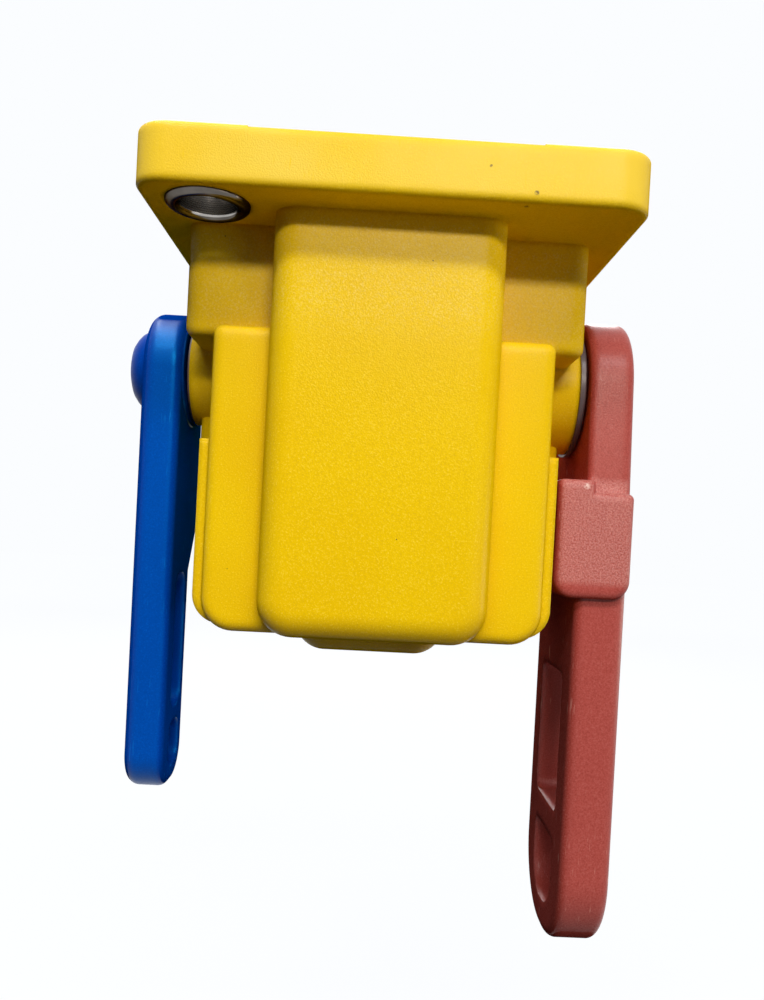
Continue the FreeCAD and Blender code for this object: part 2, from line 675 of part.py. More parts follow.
def make_gasket():
    """Flat seal that follows the split: round the body at one height, then down the front wall."""
    outer = GASKET_INSET
    inner = GASKET_INSET + GASKET_WIDTH
    ring = nose_prism(-outer, SECOND_BACK, HOOD_TOP, SPLIT_Z)
    ring = ring.cut(nose_prism(-inner, SECOND_BACK - OVERCUT, HOOD_TOP, SPLIT_Z))
    low = HOOD_BOTTOM + outer
    frame = rounded(on_xz(SECOND_BACK), -BODY_HALF + outer, BODY_HALF - outer, low, SPLIT_Z,
                    HOOD_BOTTOM_R - HOOD_LIP - outer, 0.0)
    window = rounded(on_xz(SECOND_BACK), -BODY_HALF + inner, BODY_HALF - inner, low + GASKET_WIDTH,
                     SPLIT_Z + OVERCUT, HOOD_BOTTOM_R - HOOD_LIP - inner, 0.0)
    legs = frame.extrude(Vec(0, SEAM_GAP, 0)).cut(window.extrude(Vec(0, SEAM_GAP, 0)))
    return fuse(ring, legs)


def make_hood_screws():
    seat = HOOD_TOP - HOOD_SCREW_GRIP
    screw = pan_screw(HOOD_SCREW_HEAD_R, HOOD_SCREW_HEAD_HEIGHT, HOOD_SCREW_R,
                      HOOD_SCREW_GRIP + SEAM_GAP + HOOD_SCREW_BITE)
    return Part.makeCompound([placed(screw, x, y, seat) for x, y in column_places()])


# Shafts with their bushes, seals and circlips

def make_bush(side, shaft_r, boss_x):
    """Flanged plain bearing pressed into a boss from inside."""
    inner = side * BUSH_END
    sleeve = rod_x(shaft_r + BUSH_WALL, min(inner, boss_x), max(inner, boss_x))
    wall = side * INNER_HALF
    collar = rod_x(shaft_r + BUSH_FLANGE_WALL, min(inner, wall), max(inner, wall))
    bore = rod_x(shaft_r + RUN_GAP, -2.0 * BODY_HALF, 2.0 * BODY_HALF)
    return fuse(sleeve, collar).cut(bore)


def make_seal(radius, shaft_r, boss_x, thickness):
    """Lip seal ring on the outer face of a boss."""
    outer = boss_x + math.copysign(thickness, boss_x)
    ring = tube_x(radius, shaft_r + RUN_GAP, min(boss_x, outer), max(boss_x, outer))
    return fillet(ring, SEAL_ROUND_SHARE * thickness,
                  lambda edge: in_plane(edge, "X", outer) and edge.BoundBox.YLength > 1.9 * radius)


def make_circlip(side, shaft_r):
    """Open retaining ring snapped into its groove beside the bush."""
    x0 = min(side * CIRCLIP_INNER, side * CIRCLIP_OUTER)
    x1 = x0 + CIRCLIP_THICKNESS
    groove_r = shaft_r - CIRCLIP_GROOVE + SLIP_GAP
    ring = tube_x(groove_r + CIRCLIP_WIDTH, groove_r, x0, x1)
    mouth = box(x0, x1, -0.5 * shaft_r, 0.5 * shaft_r, SHAFT_Z, SHAFT_Z + 3.0 * shaft_r)
    return ring.cut(mouth)


def grooved(shaft, side, shaft_r):
    x0 = min(side * CIRCLIP_INNER, side * CIRCLIP_OUTER) - SLIP_GAP
    x1 = x0 + CIRCLIP_THICKNESS + 2.0 * SLIP_GAP
    return shaft.cut(tube_x(shaft_r + OVERCUT, shaft_r - CIRCLIP_GROOVE, x0, x1))


def make_pull_shaft():
    shoulder = CAM_STACK_START + CAM_STACK_LENGTH
    web_face = PULL_INNER_X + PULL_WEB
    journal = rod_x(PULL_SHAFT_R, shoulder, PULL_INNER_X)
    shaft = fuse(journal, square_x(PULL_SQUARE, INNER_SHAFT_END, shoulder),
                 square_x(LEVER_SQUARE_PULL, PULL_INNER_X, web_face))
    tap = rod_x(PULL_SCREW_R + SLIP_GAP, web_face - PULL_SCREW_LENGTH - OVERCUT, web_face + OVERCUT)
    return grooved(shaft, 1, PULL_SHAFT_R).cut(tap)


def make_reset_shaft():
    web_face = RESET_INNER_X - RESET_WEB
    journal = rod_x(RESET_SHAFT_R, RESET_INNER_X, INNER_SHAFT_END - SHAFT_END_GAP)
    shaft = fuse(journal, square_x(LEVER_SQUARE_RESET, web_face, RESET_INNER_X))
    tap = rod_x(RESET_SCREW_R + SLIP_GAP, web_face - OVERCUT, web_face + RESET_SCREW_LENGTH + OVERCUT)
    cross = Part.makeCylinder(RESET_PIN_R + SLIP_GAP, 4.0 * RESET_SHAFT_R,
                              Vec(RESET_CAM_X, 0, SHAFT_Z - 2.0 * RESET_SHAFT_R), UP)
    return grooved(shaft, -1, RESET_SHAFT_R).cut([tap, cross])


# Pull lever: hub plate, block for the rope's pull, and a windowed arm

def hub_profile(x, low):
    """Side view of the round hub, whose sides spread straight to the arm's width at a lower level."""
    drop = SHAFT_Z - low
    touch = math.acos(PULL_HUB_R / math.hypot(PULL_HALF, drop)) - math.atan2(drop, PULL_HALF)
    side_y = PULL_HUB_R * math.cos(touch)
    side_z = SHAFT_Z + PULL_HUB_R * math.sin(touch)
    return outline(on_yz(x), (side_y, side_z), ((0.0, SHAFT_Z + PULL_HUB_R), (-side_y, side_z)),
                   ((-PULL_HALF, low),), ((PULL_HALF, low),), ((side_y, side_z),))


def rope_block(inner_x, outer_x, low, high, foot_r):
    """Part of the block, through the whole width of the lever, with its edges rounded."""
    reach = PULL_HALF + BLOCK_PROUD
    bar = rounded(on_xz(-reach), inner_x, outer_x, low, high, foot_r, BLOCK_EDGE_R)
    bar = bar.extrude(Vec(0, 2.0 * reach, 0))
    return fillet(bar, BLOCK_EDGE_R, lambda edge: in_plane(edge, "Y", -reach) or in_plane(edge, "Y", reach))


def make_pull_lever():
    block_top = SHAFT_Z - BLOCK_TOP
    block_bottom = block_top - BLOCK_HEIGHT
    waist = 0.5 * (block_top + block_bottom)
    hub = hub_profile(PULL_INNER_X, waist).extrude(Vec(PULL_THICKNESS, 0, 0))
    hub = fillet(hub, PULL_OUTER_R, lambda edge: in_plane(edge, "X", PULL_OUTER_X)
                 and not in_plane(edge, "Z", waist))
    hub = fillet(hub, PULL_EDGE_R, lambda edge: in_plane(edge, "X", PULL_INNER_X)
                 and not in_plane(edge, "Z", waist))
    arm_inner = PULL_OUTER_X - ARM_THICKNESS
    arm = rounded(on_yz(arm_inner), -PULL_HALF, PULL_HALF, SHAFT_Z - PULL_LENGTH, waist, PULL_TIP_R, 0.0)
    arm = arm.extrude(Vec(ARM_THICKNESS, 0, 0))
    arm = fillet(arm, ARM_EDGE_R, lambda edge: not in_plane(edge, "Z", waist)
                 and (in_plane(edge, "X", arm_inner) or in_plane(edge, "X", PULL_OUTER_X)))
    block_inner = HOOD_HALF + BLOCK_HOOD_GAP
    block = rope_block(block_inner, PULL_OUTER_X, block_bottom, block_top - BLOCK_STEP, BLOCK_FOOT_R)
    crest = rope_block(block_inner, PULL_INNER_X + PULL_EDGE_R, waist, block_top, BLOCK_EDGE_R)
    lever = fuse(hub, arm, block, crest)
    upper_top = SHAFT_Z - WINDOW_TOP
    lower_top = upper_top - WINDOW_HEIGHT - WINDOW_RIB
    pane_place = on_yz(arm_inner - OVERCUT)
    panes = [rounded(pane_place, -WINDOW_HALF, WINDOW_HALF, upper_top - WINDOW_HEIGHT, upper_top,
                     WINDOW_CORNER_R, WINDOW_CORNER_R),
             rounded(pane_place, -LOWER_WINDOW_HALF, LOWER_WINDOW_HALF, lower_top - LOWER_WINDOW_HEIGHT,
                     lower_top, LOWER_WINDOW_FOOT_R, WINDOW_CORNER_R)]
    cuts = [pane.extrude(Vec(ARM_THICKNESS + 2.0 * OVERCUT, 0, 0)) for pane in panes]
    cuts.append(square_x(LEVER_SQUARE_PULL + 2.0 * SLIP_GAP, PULL_INNER_X - OVERCUT, PULL_OUTER_X))
    cuts.append(rod_x(PULL_COUNTERBORE_R, PULL_INNER_X + PULL_WEB, PULL_OUTER_X + OVERCUT))
    return lever.cut(cuts).removeSplitter()


def along_minus_x(shape, x):
    """Turn a screw drawn along +Z so that its shank runs along -X from a plane."""
    copy = shape.copy()
    copy.rotate(Vec(0, 0, 0), ALONG_Y, -90)
    copy.translate(Vec(x, 0, SHAFT_Z))
    return copy


def along_plus_x(shape, x):
    copy = shape.copy()
    copy.rotate(Vec(0, 0, 0), ALONG_Y, 90)
    copy.translate(Vec(x, 0, SHAFT_Z))
    return copy


def make_pull_washer():
    face = PULL_INNER_X + PULL_WEB
    return tube_x(PULL_WASHER_R, PULL_SCREW_R + PULL_WASHER_GAP, face, face + PULL_WASHER_THICKNESS)


def make_pull_screw():
    screw = pan_screw(PULL_SCREW_HEAD_R, PULL_SCREW_HEAD_HEIGHT, PULL_SCREW_R, PULL_SCREW_LENGTH)
    return along_minus_x(screw, PULL_INNER_X + PULL_WEB + PULL_WASHER_THICKNESS)


# Reset lever: straight near edge, wide hub, narrow slotted arm

def make_reset_lever():
    near = -RESET_HUB_R
    far = near + RESET_ARM_WIDTH
    tip = SHAFT_Z - RESET_LENGTH
    wide_end = SHAFT_Z - RESET_WIDE_LENGTH
    narrow_start = wide_end - RESET_SLOPE_LENGTH
    profile = outline(on_yz(RESET_OUTER_X), (RESET_HUB_R, SHAFT_Z),
                      ((0.0, SHAFT_Z + RESET_HUB_R), (near, SHAFT_Z)),
                      ((near, tip + RESET_TIP_R),),
                      corner_arc((near + RESET_TIP_R, tip + RESET_TIP_R), RESET_TIP_R, 180.0),
                      ((far - RESET_TIP_R, tip),),
                      corner_arc((far - RESET_TIP_R, tip + RESET_TIP_R), RESET_TIP_R, 270.0),
                      ((far, narrow_start),), ((RESET_HUB_R, wide_end),), ((RESET_HUB_R, SHAFT_Z),))
    plate = profile.extrude(Vec(RESET_THICKNESS, 0, 0))
    plate = fillet(plate, RESET_OUTER_R, lambda edge: in_plane(edge, "X", RESET_OUTER_X)
                   and edge.BoundBox.ZMax > SHAFT_Z + OVERCUT)
    plate = fillet(plate, RESET_EDGE_R, lambda edge: in_plane(edge, "X", RESET_ARM_X))
    plate = fuse(plate, rod_x(RESET_INNER_BOSS_R, RESET_ARM_X, RESET_INNER_X))
    slot_near = near + SLOT_NEAR_RIM
    cuts = []
    low = tip + SLOT_TIP_MARGIN
    for length in (SLOT_SHORT_LENGTH, SLOT_LONG_LENGTH):
        slot = rounded(on_yz(RESET_OUTER_X - OVERCUT), slot_near, slot_near + SLOT_WIDTH, low, low + length,
                       SLOT_END_R, SLOT_END_R)
        cuts.append(slot.extrude(Vec(RESET_THICKNESS + 2.0 * OVERCUT, 0, 0)))
        low = low + length + SLOT_RIB
    web_face = RESET_INNER_X - RESET_WEB
    cuts.append(square_x(LEVER_SQUARE_RESET + 2.0 * SLIP_GAP, RESET_OUTER_X, RESET_INNER_X + OVERCUT))
    cuts.append(rod_x(RESET_COUNTERBORE_R, RESET_OUTER_X - OVERCUT, web_face))
    return plate.cut(cuts).removeSplitter()


def make_reset_cap():
    """Domed cap pressed over the screw of the reset lever."""
    end = RESET_OUTER_X - CAP_HEIGHT
    dome = rod_x(CAP_R, end, RESET_OUTER_X)
    dome = fillet(dome, CAP_EDGE_R, lambda edge: in_plane(edge, "X", end))
    outer = RESET_COUNTERBORE_R - SLIP_GAP
    spigot = tube_x(outer, outer - CAP_SPIGOT_WALL, RESET_OUTER_X, RESET_OUTER_X + CAP_SPIGOT_LENGTH)
    return fuse(dome, spigot)


def make_reset_screw():
    screw = pan_screw(RESET_SCREW_HEAD_R, RESET_SCREW_HEAD_HEIGHT, RESET_SCREW_R, RESET_SCREW_LENGTH)
    return along_plus_x(screw, RESET_INNER_X - RESET_WEB)


# Mechanism frame, cams, latch disc and pawl

def pawl_rod(radius, x0, x1):
    """Cylinder on the axis of the pawl pin."""
    return rod_x(radius, x0, x1, PAWL_PIN_Y, PAWL_PIN_Z)


def frame_screw_places():
    return [(x, y) for y in (FRAME_SCREW_Y, FRAME_SCREW_REAR_Y) for x in mirrored_x(FRAME_SCREW_X)]


def make_frame():
    """Folded steel sheet: a web under the roof and two cheeks that steady the shafts."""
    low = PAWL_PIN_Z - CHEEK_BELOW_PIN
    web = box(-CHEEK_OUTER_X, CHEEK_OUTER_X, FRAME_FRONT_Y, WEB_REAR_Y, CARRIER_BOTTOM, ROOF_Z)
    cheeks = [box(min(x, y), max(x, y), FRAME_FRONT_Y, FRAME_REAR_Y, low, CARRIER_BOTTOM)
              for x, y in ((CHEEK_INNER_X, CHEEK_OUTER_X), (-CHEEK_INNER_X, -CHEEK_OUTER_X))]
    folded = fuse(web, *cheeks)
    folded = fillet(folded, FRAME_BEND_R, lambda edge: straight_along(edge, ALONG_Y)
                    and in_plane(edge, "Z", ROOF_Z))
    holes = [rod_x(PULL_SHAFT_R + RUN_GAP, 0.0, 2.0 * CHEEK_OUTER_X),
             rod_x(RESET_SHAFT_R + RUN_GAP, -2.0 * CHEEK_OUTER_X, 0.0),
             pawl_rod(PAWL_PIN_R + SLIP_GAP, -2.0 * CHEEK_OUTER_X, 2.0 * CHEEK_OUTER_X)]
    holes += [rod_z(FRAME_SCREW_R + SLIP_GAP, CARRIER_BOTTOM - OVERCUT, ROOF_Z + OVERCUT, x, y)
              for x, y in frame_screw_places()]
    return folded.cut(holes)


def roof_screw():
    return pan_screw(FRAME_SCREW_HEAD_R, FRAME_SCREW_HEAD_HEIGHT, FRAME_SCREW_R, FRAME_SCREW_BITE)


def make_frame_screws():
    return Part.makeCompound([placed(roof_screw(), x, y, CARRIER_BOTTOM) for x, y in frame_screw_places()])


def stack_hub(x0, x1):
    return rod_x(CAM_HUB_R, x0, x1)


def square_hole(shape):
    hole = square_x(PULL_SQUARE + 2.0 * SLIP_GAP, -2.0 * BODY_HALF, 2.0 * BODY_HALF)
    return shape.cut(hole).removeSplitter()


def make_cam(plunger_x, rise, x0, x1):
    """Spiral switching cam with a hub that takes its share of the stack on the square shaft."""
    half = 0.5 * CAM_THICKNESS
    plate = spiral_cam(CAM_BASE_R, rise, 0.0, CAM_HUB_R, plunger_x - half, plunger_x + half)
    return square_hole(plate.fuse(stack_hub(x0, x1)))


def stack_limits():
    """Edges between the three hubs along the square shaft."""
    half = 0.5 * LATCH_DISC_THICKNESS + LATCH_HUB_SIDE
    return (CAM_STACK_START, LATCH_X - half, LATCH_X + half, CAM_STACK_START + CAM_STACK_LENGTH)


def make_latch_disc():
    """Rim with one notch for each pulling direction."""
    half = 0.5 * LATCH_DISC_THICKNESS
    limits = stack_limits()
    disc = rod_x(LATCH_DISC_R, LATCH_X - half, LATCH_X + half).fuse(stack_hub(limits[1], limits[2]))
    for degrees in (-LATCH_NOTCH_DEGREES, LATCH_NOTCH_DEGREES):
        notch = box(LATCH_X - half, LATCH_X + half, -0.5 * LATCH_NOTCH_WIDTH, 0.5 * LATCH_NOTCH_WIDTH,
                    SHAFT_Z - LATCH_DISC_R - OVERCUT, SHAFT_Z - LATCH_DISC_R + LATCH_NOTCH_DEPTH)
        notch.rotate(Vec(0, 0, SHAFT_Z), ALONG_X, degrees)
        disc = disc.cut(notch)
    return square_hole(disc)


def make_reset_cam():
    half = 0.5 * RESET_CAM_THICKNESS
    cam = spiral_cam(RESET_CAM_BASE_R, -RESET_CAM_RISE_PER_RADIAN, -90.0, RESET_CAM_HUB_R,
                     RESET_CAM_X - half, RESET_CAM_X + half)
    bore = rod_x(RESET_SHAFT_R + SLIP_GAP, -BODY_HALF, BODY_HALF)
    cross = rod_z(RESET_PIN_R + SLIP_GAP, SHAFT_Z - 2.0 * RESET_CAM_HUB_R, SHAFT_Z + 2.0 * RESET_CAM_HUB_R,
                  RESET_CAM_X, 0.0)
    return cam.cut([bore, cross]).removeSplitter()


def make_reset_pin():
    return rod_z(RESET_PIN_R, SHAFT_Z - RESET_CAM_HUB_R + RESET_PIN_INSET,
                 SHAFT_Z + RESET_CAM_HUB_R - RESET_PIN_INSET, RESET_CAM_X, 0.0)


def make_pawl():
    """Rocker on the pawl pin: one arm follows the reset cam, the other holds the latch disc."""
    cam_x0 = RESET_CAM_X - 0.5 * RESET_CAM_THICKNESS
    cam_x1 = cam_x0 + RESET_CAM_THICKNESS
    nose_x0 = LATCH_X - 0.5 * LATCH_DISC_THICKNESS
    nose_x1 = nose_x0 + LATCH_DISC_THICKNESS
    tube = pawl_rod(PAWL_TUBE_R, cam_x0, nose_x1 + PAWL_TUBE_SIDE)
    arm_top = PAWL_PIN_Z + 0.5 * PAWL_ARM_HEIGHT
    arm_low = arm_top - PAWL_ARM_HEIGHT
    follower_arm = box(cam_x0, cam_x1, -PAWL_BUMP_R, PAWL_PIN_Y, arm_low, arm_top)
    crown = SHAFT_Z - RESET_CAM_BASE_R - PAWL_CLEARANCE
    post = box(cam_x0, cam_x1, -PAWL_BUMP_R, PAWL_BUMP_R, arm_low, crown - PAWL_BUMP_R)
    bump = rod_x(PAWL_BUMP_R, cam_x0, cam_x1, 0.0, crown - PAWL_BUMP_R)
    nose_top = SHAFT_Z - LATCH_DISC_R - PAWL_CLEARANCE
    nose_side = 0.5 * PAWL_NOSE_WIDTH
    nose_arm = box(nose_x0, nose_x1, -nose_side, PAWL_PIN_Y, arm_low, nose_top - LATCH_NOTCH_DEPTH)
    nose = box(nose_x0, nose_x1, -nose_side, nose_side, arm_low, nose_top)
    pawl = fuse(tube, follower_arm, post, bump, nose_arm, nose)
    bore = pawl_rod(PAWL_PIN_R + RUN_GAP, -BODY_HALF, BODY_HALF)
    return pawl.cut(bore).removeSplitter()


def make_pawl_pin():
    head_end = -CHEEK_OUTER_X - PAWL_PIN_HEAD_HEIGHT
    pin = pawl_rod(PAWL_PIN_R, head_end, CHEEK_OUTER_X + SHEET)
    head = pawl_rod(PAWL_PIN_HEAD_R, head_end, -CHEEK_OUTER_X)
    return fuse(pin, head)


# Contacts

def contact_box(plunger_x):
    return (plunger_x - BLOCK_HALF_WIDTH, plunger_x + BLOCK_HALF_WIDTH)


def make_contact_block(plunger_x):
    """Moulded contact element with a guide bore for its plunger and two rows of terminals."""
    x0, x1 = contact_box(plunger_x)
    back = CONTACT_FRONT_Y + CONTACT_LENGTH
    block = box(x0, x1, CONTACT_FRONT_Y, back, CONTACT_BOTTOM, CARRIER_BOTTOM)
    block = fillet(block, CONTACT_EDGE_R, lambda edge: in_plane(edge, "Z", CONTACT_BOTTOM))
    cuts = [rod_y(PLUNGER_R + RUN_GAP, CONTACT_FRONT_Y - OVERCUT, CONTACT_FRONT_Y + PLUNGER_BORE_DEPTH,
                  plunger_x, SHAFT_Z)]
    shank_end = CONTACT_BOTTOM + TERMINAL_SHANK_LENGTH
    cuts += [rod_z(TERMINAL_SHANK_R + SLIP_GAP, CONTACT_BOTTOM - OVERCUT, shank_end + OVERCUT, x, y)
             for x, y in terminal_places(plunger_x)]
    return block.cut(cuts)


def terminal_places(plunger_x):
    half = 0.5 * TERMINAL_SPREAD
    return [(plunger_x + side, CONTACT_FRONT_Y + row) for row in TERMINAL_ROWS for side in (-half, half)]


def make_terminal_screws():
    screw = pan_screw(TERMINAL_HEAD_R, TERMINAL_HEAD_HEIGHT, TERMINAL_SHANK_R, TERMINAL_SHANK_LENGTH)
    places = terminal_places(PLUNGER_A_X) + terminal_places(PLUNGER_B_X)
    return Part.makeCompound([placed(screw, x, y, CONTACT_BOTTOM) for x, y in places])


def make_plunger(plunger_x):
    tip = CAM_BASE_R + PLUNGER_GAP
    stem = rod_y(PLUNGER_R, tip + PLUNGER_R, tip + PLUNGER_LENGTH, plunger_x, SHAFT_Z)
    return fuse(stem, Part.makeSphere(PLUNGER_R, Vec(plunger_x, tip + PLUNGER_R, SHAFT_Z)))


def carrier_screw_places():
    return [(x, CONTACT_FRONT_Y - CARRIER_SCREW_SETBACK) for x in (PLUNGER_A_X, PLUNGER_B_X)]


def make_carrier():
    """Steel plate under the roof that the contact blocks clip to, screwed on in front of them."""
    x0 = contact_box(PLUNGER_A_X)[0] - CARRIER_MARGIN
    x1 = contact_box(PLUNGER_B_X)[1] + CARRIER_MARGIN
    back = CONTACT_FRONT_Y + CONTACT_LENGTH + CARRIER_MARGIN
    plate = box(x0, x1, WEB_REAR_Y + CARRIER_MARGIN, back, CARRIER_BOTTOM, ROOF_Z)
    plate = fillet(plate, SHEET, lambda edge: straight_along(edge, UP))
    holes = [rod_z(FRAME_SCREW_R + SLIP_GAP, CARRIER_BOTTOM - OVERCUT, ROOF_Z + OVERCUT, x, y)
             for x, y in carrier_screw_places()]
    return plate.cut(holes)


def make_carrier_screws():
    return Part.makeCompound([placed(roof_screw(), x, y, CARRIER_BOTTOM) for x, y in carrier_screw_places()])


# Springs

def make_shaft_spring(side, shaft_r):
    """Torsion spring round a shaft, between a cheek and the circlip."""
    length = CIRCLIP_INNER - CHEEK_OUTER_X - 2.0 * SPRING_END_GAP
    spring = coil(SPRING_WIRE_R, shaft_r + SPRING_SHAFT_GAP + SPRING_WIRE_R, SPRING_TURNS, length, SPRING_LEG)
    spring.rotate(Vec(0, 0, 0), ALONG_Y, 90 * side)
    spring.translate(Vec(side * (CHEEK_OUTER_X + SPRING_END_GAP), 0, SHAFT_Z))
    return spring


def make_pawl_spring():
    start = LATCH_X + 0.5 * LATCH_DISC_THICKNESS + PAWL_TUBE_SIDE + PAWL_SPRING_GAP
    length = CHEEK_INNER_X - start - PAWL_SPRING_GAP
    spring = coil(PAWL_SPRING_WIRE_R, PAWL_PIN_R + PAWL_SPRING_GAP + PAWL_SPRING_WIRE_R, PAWL_SPRING_TURNS,
                  length, 0.5 * SPRING_LEG)
    spring.rotate(Vec(0, 0, 0), ALONG_Y, 90)
    spring.translate(Vec(start, PAWL_PIN_Y, PAWL_PIN_Z))
    return spring


limits = stack_limits()
pieces = {
    "mounting_flange": make_flange(),
    "housing": make_housing(),
    "entry_inserts": make_entry_inserts(),
    "mounting_sleeves": make_sleeves(),
    "hood": make_hood(),
    "hood_gasket": make_gasket(),
    "hood_screws": make_hood_screws(),
    "pull_bush": make_bush(1, PULL_SHAFT_R, PULL_BOSS_X),
    "reset_bush": make_bush(-1, RESET_SHAFT_R, RESET_BOSS_X),
    "pull_seal": make_seal(PULL_SEAL_R, PULL_SHAFT_R, PULL_BOSS_X, PULL_SEAL_THICKNESS),
    "reset_seal": make_seal(RESET_SEAL_R, RESET_SHAFT_R, RESET_BOSS_X, RESET_SEAL_THICKNESS),
    "mechanism_frame": make_frame(),
    "frame_screws": make_frame_screws(),
    "pull_spring": make_shaft_spring(1, PULL_SHAFT_R),
    "reset_spring": make_shaft_spring(-1, RESET_SHAFT_R),
    "pawl_pin": make_pawl_pin(),
    "pawl_spring": make_pawl_spring(),
    "contact_carrier": make_carrier(),
    "carrier_screws": make_carrier_screws(),
    "contact_block_a": make_contact_block(PLUNGER_A_X),
    "contact_block_b": make_contact_block(PLUNGER_B_X),
    "terminal_screws": make_terminal_screws(),
    "pull_lever": make_pull_lever(),
    "pull_shaft": make_pull_shaft(),
    "pull_washer": make_pull_washer(),
    "pull_screw": make_pull_screw(),
    "pull_circlip": make_circlip(1, PULL_SHAFT_R),
    "switching_cam_a": make_cam(PLUNGER_A_X, -CAM_RISE_PER_RADIAN, limits[0], limits[1]),
    "latch_disc": make_latch_disc(),
    "switching_cam_b": make_cam(PLUNGER_B_X, CAM_RISE_PER_RADIAN, limits[2], limits[3]),
    "plunger_a": make_plunger(PLUNGER_A_X),
    "plunger_b": make_plunger(PLUNGER_B_X),
    "reset_lever": make_reset_lever(),
    "reset_shaft": make_reset_shaft(),
    "reset_cap": make_reset_cap(),
    "reset_screw": make_reset_screw(),
    "reset_circlip": make_circlip(-1, RESET_SHAFT_R),
    "reset_cam": make_reset_cam(),
    "reset_cam_pin": make_reset_pin(),
    "latch_pawl": make_pawl(),
}

os.makedirs("parts", exist_ok=True)
for name, shape in pieces.items():
    shape.exportStep("parts/" + name + ".step")
    print(name, len(shape.Solids), round(shape.Volume, 1), shape.isValid())
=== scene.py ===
import math

import bmesh
import bpy
from mathutils import Matrix, Vector


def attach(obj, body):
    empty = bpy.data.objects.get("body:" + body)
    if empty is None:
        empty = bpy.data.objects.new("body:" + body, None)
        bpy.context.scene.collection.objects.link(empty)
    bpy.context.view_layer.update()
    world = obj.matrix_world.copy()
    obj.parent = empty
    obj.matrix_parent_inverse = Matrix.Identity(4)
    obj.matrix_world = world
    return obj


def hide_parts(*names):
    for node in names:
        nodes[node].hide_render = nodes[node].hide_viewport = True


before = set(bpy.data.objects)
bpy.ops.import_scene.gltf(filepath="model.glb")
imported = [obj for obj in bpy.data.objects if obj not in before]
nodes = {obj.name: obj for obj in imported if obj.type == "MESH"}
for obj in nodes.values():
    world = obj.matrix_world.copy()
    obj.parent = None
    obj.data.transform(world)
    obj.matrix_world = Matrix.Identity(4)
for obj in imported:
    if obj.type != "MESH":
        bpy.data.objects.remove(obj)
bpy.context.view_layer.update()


# Mounting flange and housing: injection mouldings of yellow glass-fibre polyamide, with the shoulders,
# bearing bosses and stepped front panel in the housing. The spark-eroded tool leaves a fine grain on every
# face, whose peaks are tinted paler as painted glints. The flange is tinted paler in smears as a painted
# sheen, and the band just under it carries pale speckles as painted sparkle. Handling leaves rubbed edges,
# a few dark specks and faint scuffs.
def add_node(tree, kind, options=None, values=None):
    """Adds a node, sets its options, and sets its free inputs by name or number."""
    made = tree.nodes.new(kind)
    for option, setting in (options or {}).items():
        setattr(made, option, setting)
    for socket, setting in (values or {}).items():
        made.inputs[socket].default_value = setting
    return made


def shaded(name):
    """A new material with its tree, its shader and the piece's own coordinates."""
    material = bpy.data.materials.new(name)
    material.use_nodes = True
    tree = material.node_tree
    place = add_node(tree, "ShaderNodeTexCoord").outputs["Object"]
    return material, tree, tree.nodes["Principled BSDF"], place


def noise(tree, place, per_metre, detail=2.0, roughness=0.55):
    """Uneven pattern with so many blotches to the metre."""
    made = add_node(tree, "ShaderNodeTexNoise",
                    values={"Scale": per_metre, "Detail": detail, "Roughness": roughness})
    tree.links.new(place, made.inputs["Vector"])
    return made.outputs["Fac"]


def remap(tree, source, low, high, new_low=0.0, new_high=1.0):
    """Carries a range of a pattern over to another range, with its ends held."""
    made = add_node(tree, "ShaderNodeMapRange",
                    values={"From Min": low, "From Max": high, "To Min": new_low, "To Max": new_high})
    tree.links.new(source, made.inputs["Value"])
    return made.outputs["Result"]


def both(tree, first, second):
    """Where two masks meet."""
    made = add_node(tree, "ShaderNodeMath", {"operation": "MULTIPLY"})
    tree.links.new(first, made.inputs[0])
    tree.links.new(second, made.inputs[1])
    return made.outputs["Value"]


# Where the colour inputs and the colour output stand among the sockets of a mix.
UNDER_SOCKET, OVER_SOCKET, MIXED_SOCKET = 6, 7, 2


def tinted(tree, mask, under, over):
    """One colour over another where a mask says so; each is a colour or another node's output."""
    made = add_node(tree, "ShaderNodeMix", {"data_type": "RGBA"})
    tree.links.new(mask, made.inputs["Factor"])
    for socket, colour in ((made.inputs[UNDER_SOCKET], under), (made.inputs[OVER_SOCKET], over)):
        if isinstance(colour, tuple):
            socket.default_value = (*colour, 1.0)
        else:
            tree.links.new(colour, socket)
    return made.outputs[MIXED_SOCKET]


def raised(tree, height, strength, distance, below=None):
    """Bump from a pattern, on top of another bump if there is one."""
    made = add_node(tree, "ShaderNodeBump", values={"Distance": distance})
    if isinstance(strength, float):
        made.inputs["Strength"].default_value = strength
    else:
        tree.links.new(strength, made.inputs["Strength"])
    tree.links.new(height, made.inputs["Height"])
    if below is not None:
        tree.links.new(below, made.inputs["Normal"])
    return made.outputs["Normal"]


# How far a rounded-off facing agrees with the true one, on a flat face and at a sharp edge.
EDGE_FLAT, EDGE_SHARP = 0.995, 0.90
RUB_SAMPLES = 4
RUB_SPREAD = (0.48, 0.62)
RUB_STRENGTH = 0.8


def rubbed_edges(tree, place, radius):
    """Mask along sharp outer edges, in patches, where handling polishes a moulding."""
    soft = add_node(tree, "ShaderNodeBevel", {"samples": RUB_SAMPLES}, {"Radius": radius})
    facing = add_node(tree, "ShaderNodeNewGeometry")
    agree = add_node(tree, "ShaderNodeVectorMath", {"operation": "DOT_PRODUCT"})
    tree.links.new(soft.outputs["Normal"], agree.inputs[0])
    tree.links.new(facing.outputs["Normal"], agree.inputs[1])
    edge = remap(tree, agree.outputs["Value"], EDGE_FLAT, EDGE_SHARP)
    patches = noise(tree, place, per_metre=220.0, detail=4.0, roughness=0.65)
    return both(tree, edge, remap(tree, patches, *RUB_SPREAD, new_high=RUB_STRENGTH))


SPECK_CORE = 0.5
SPECK_STEP = 0.01


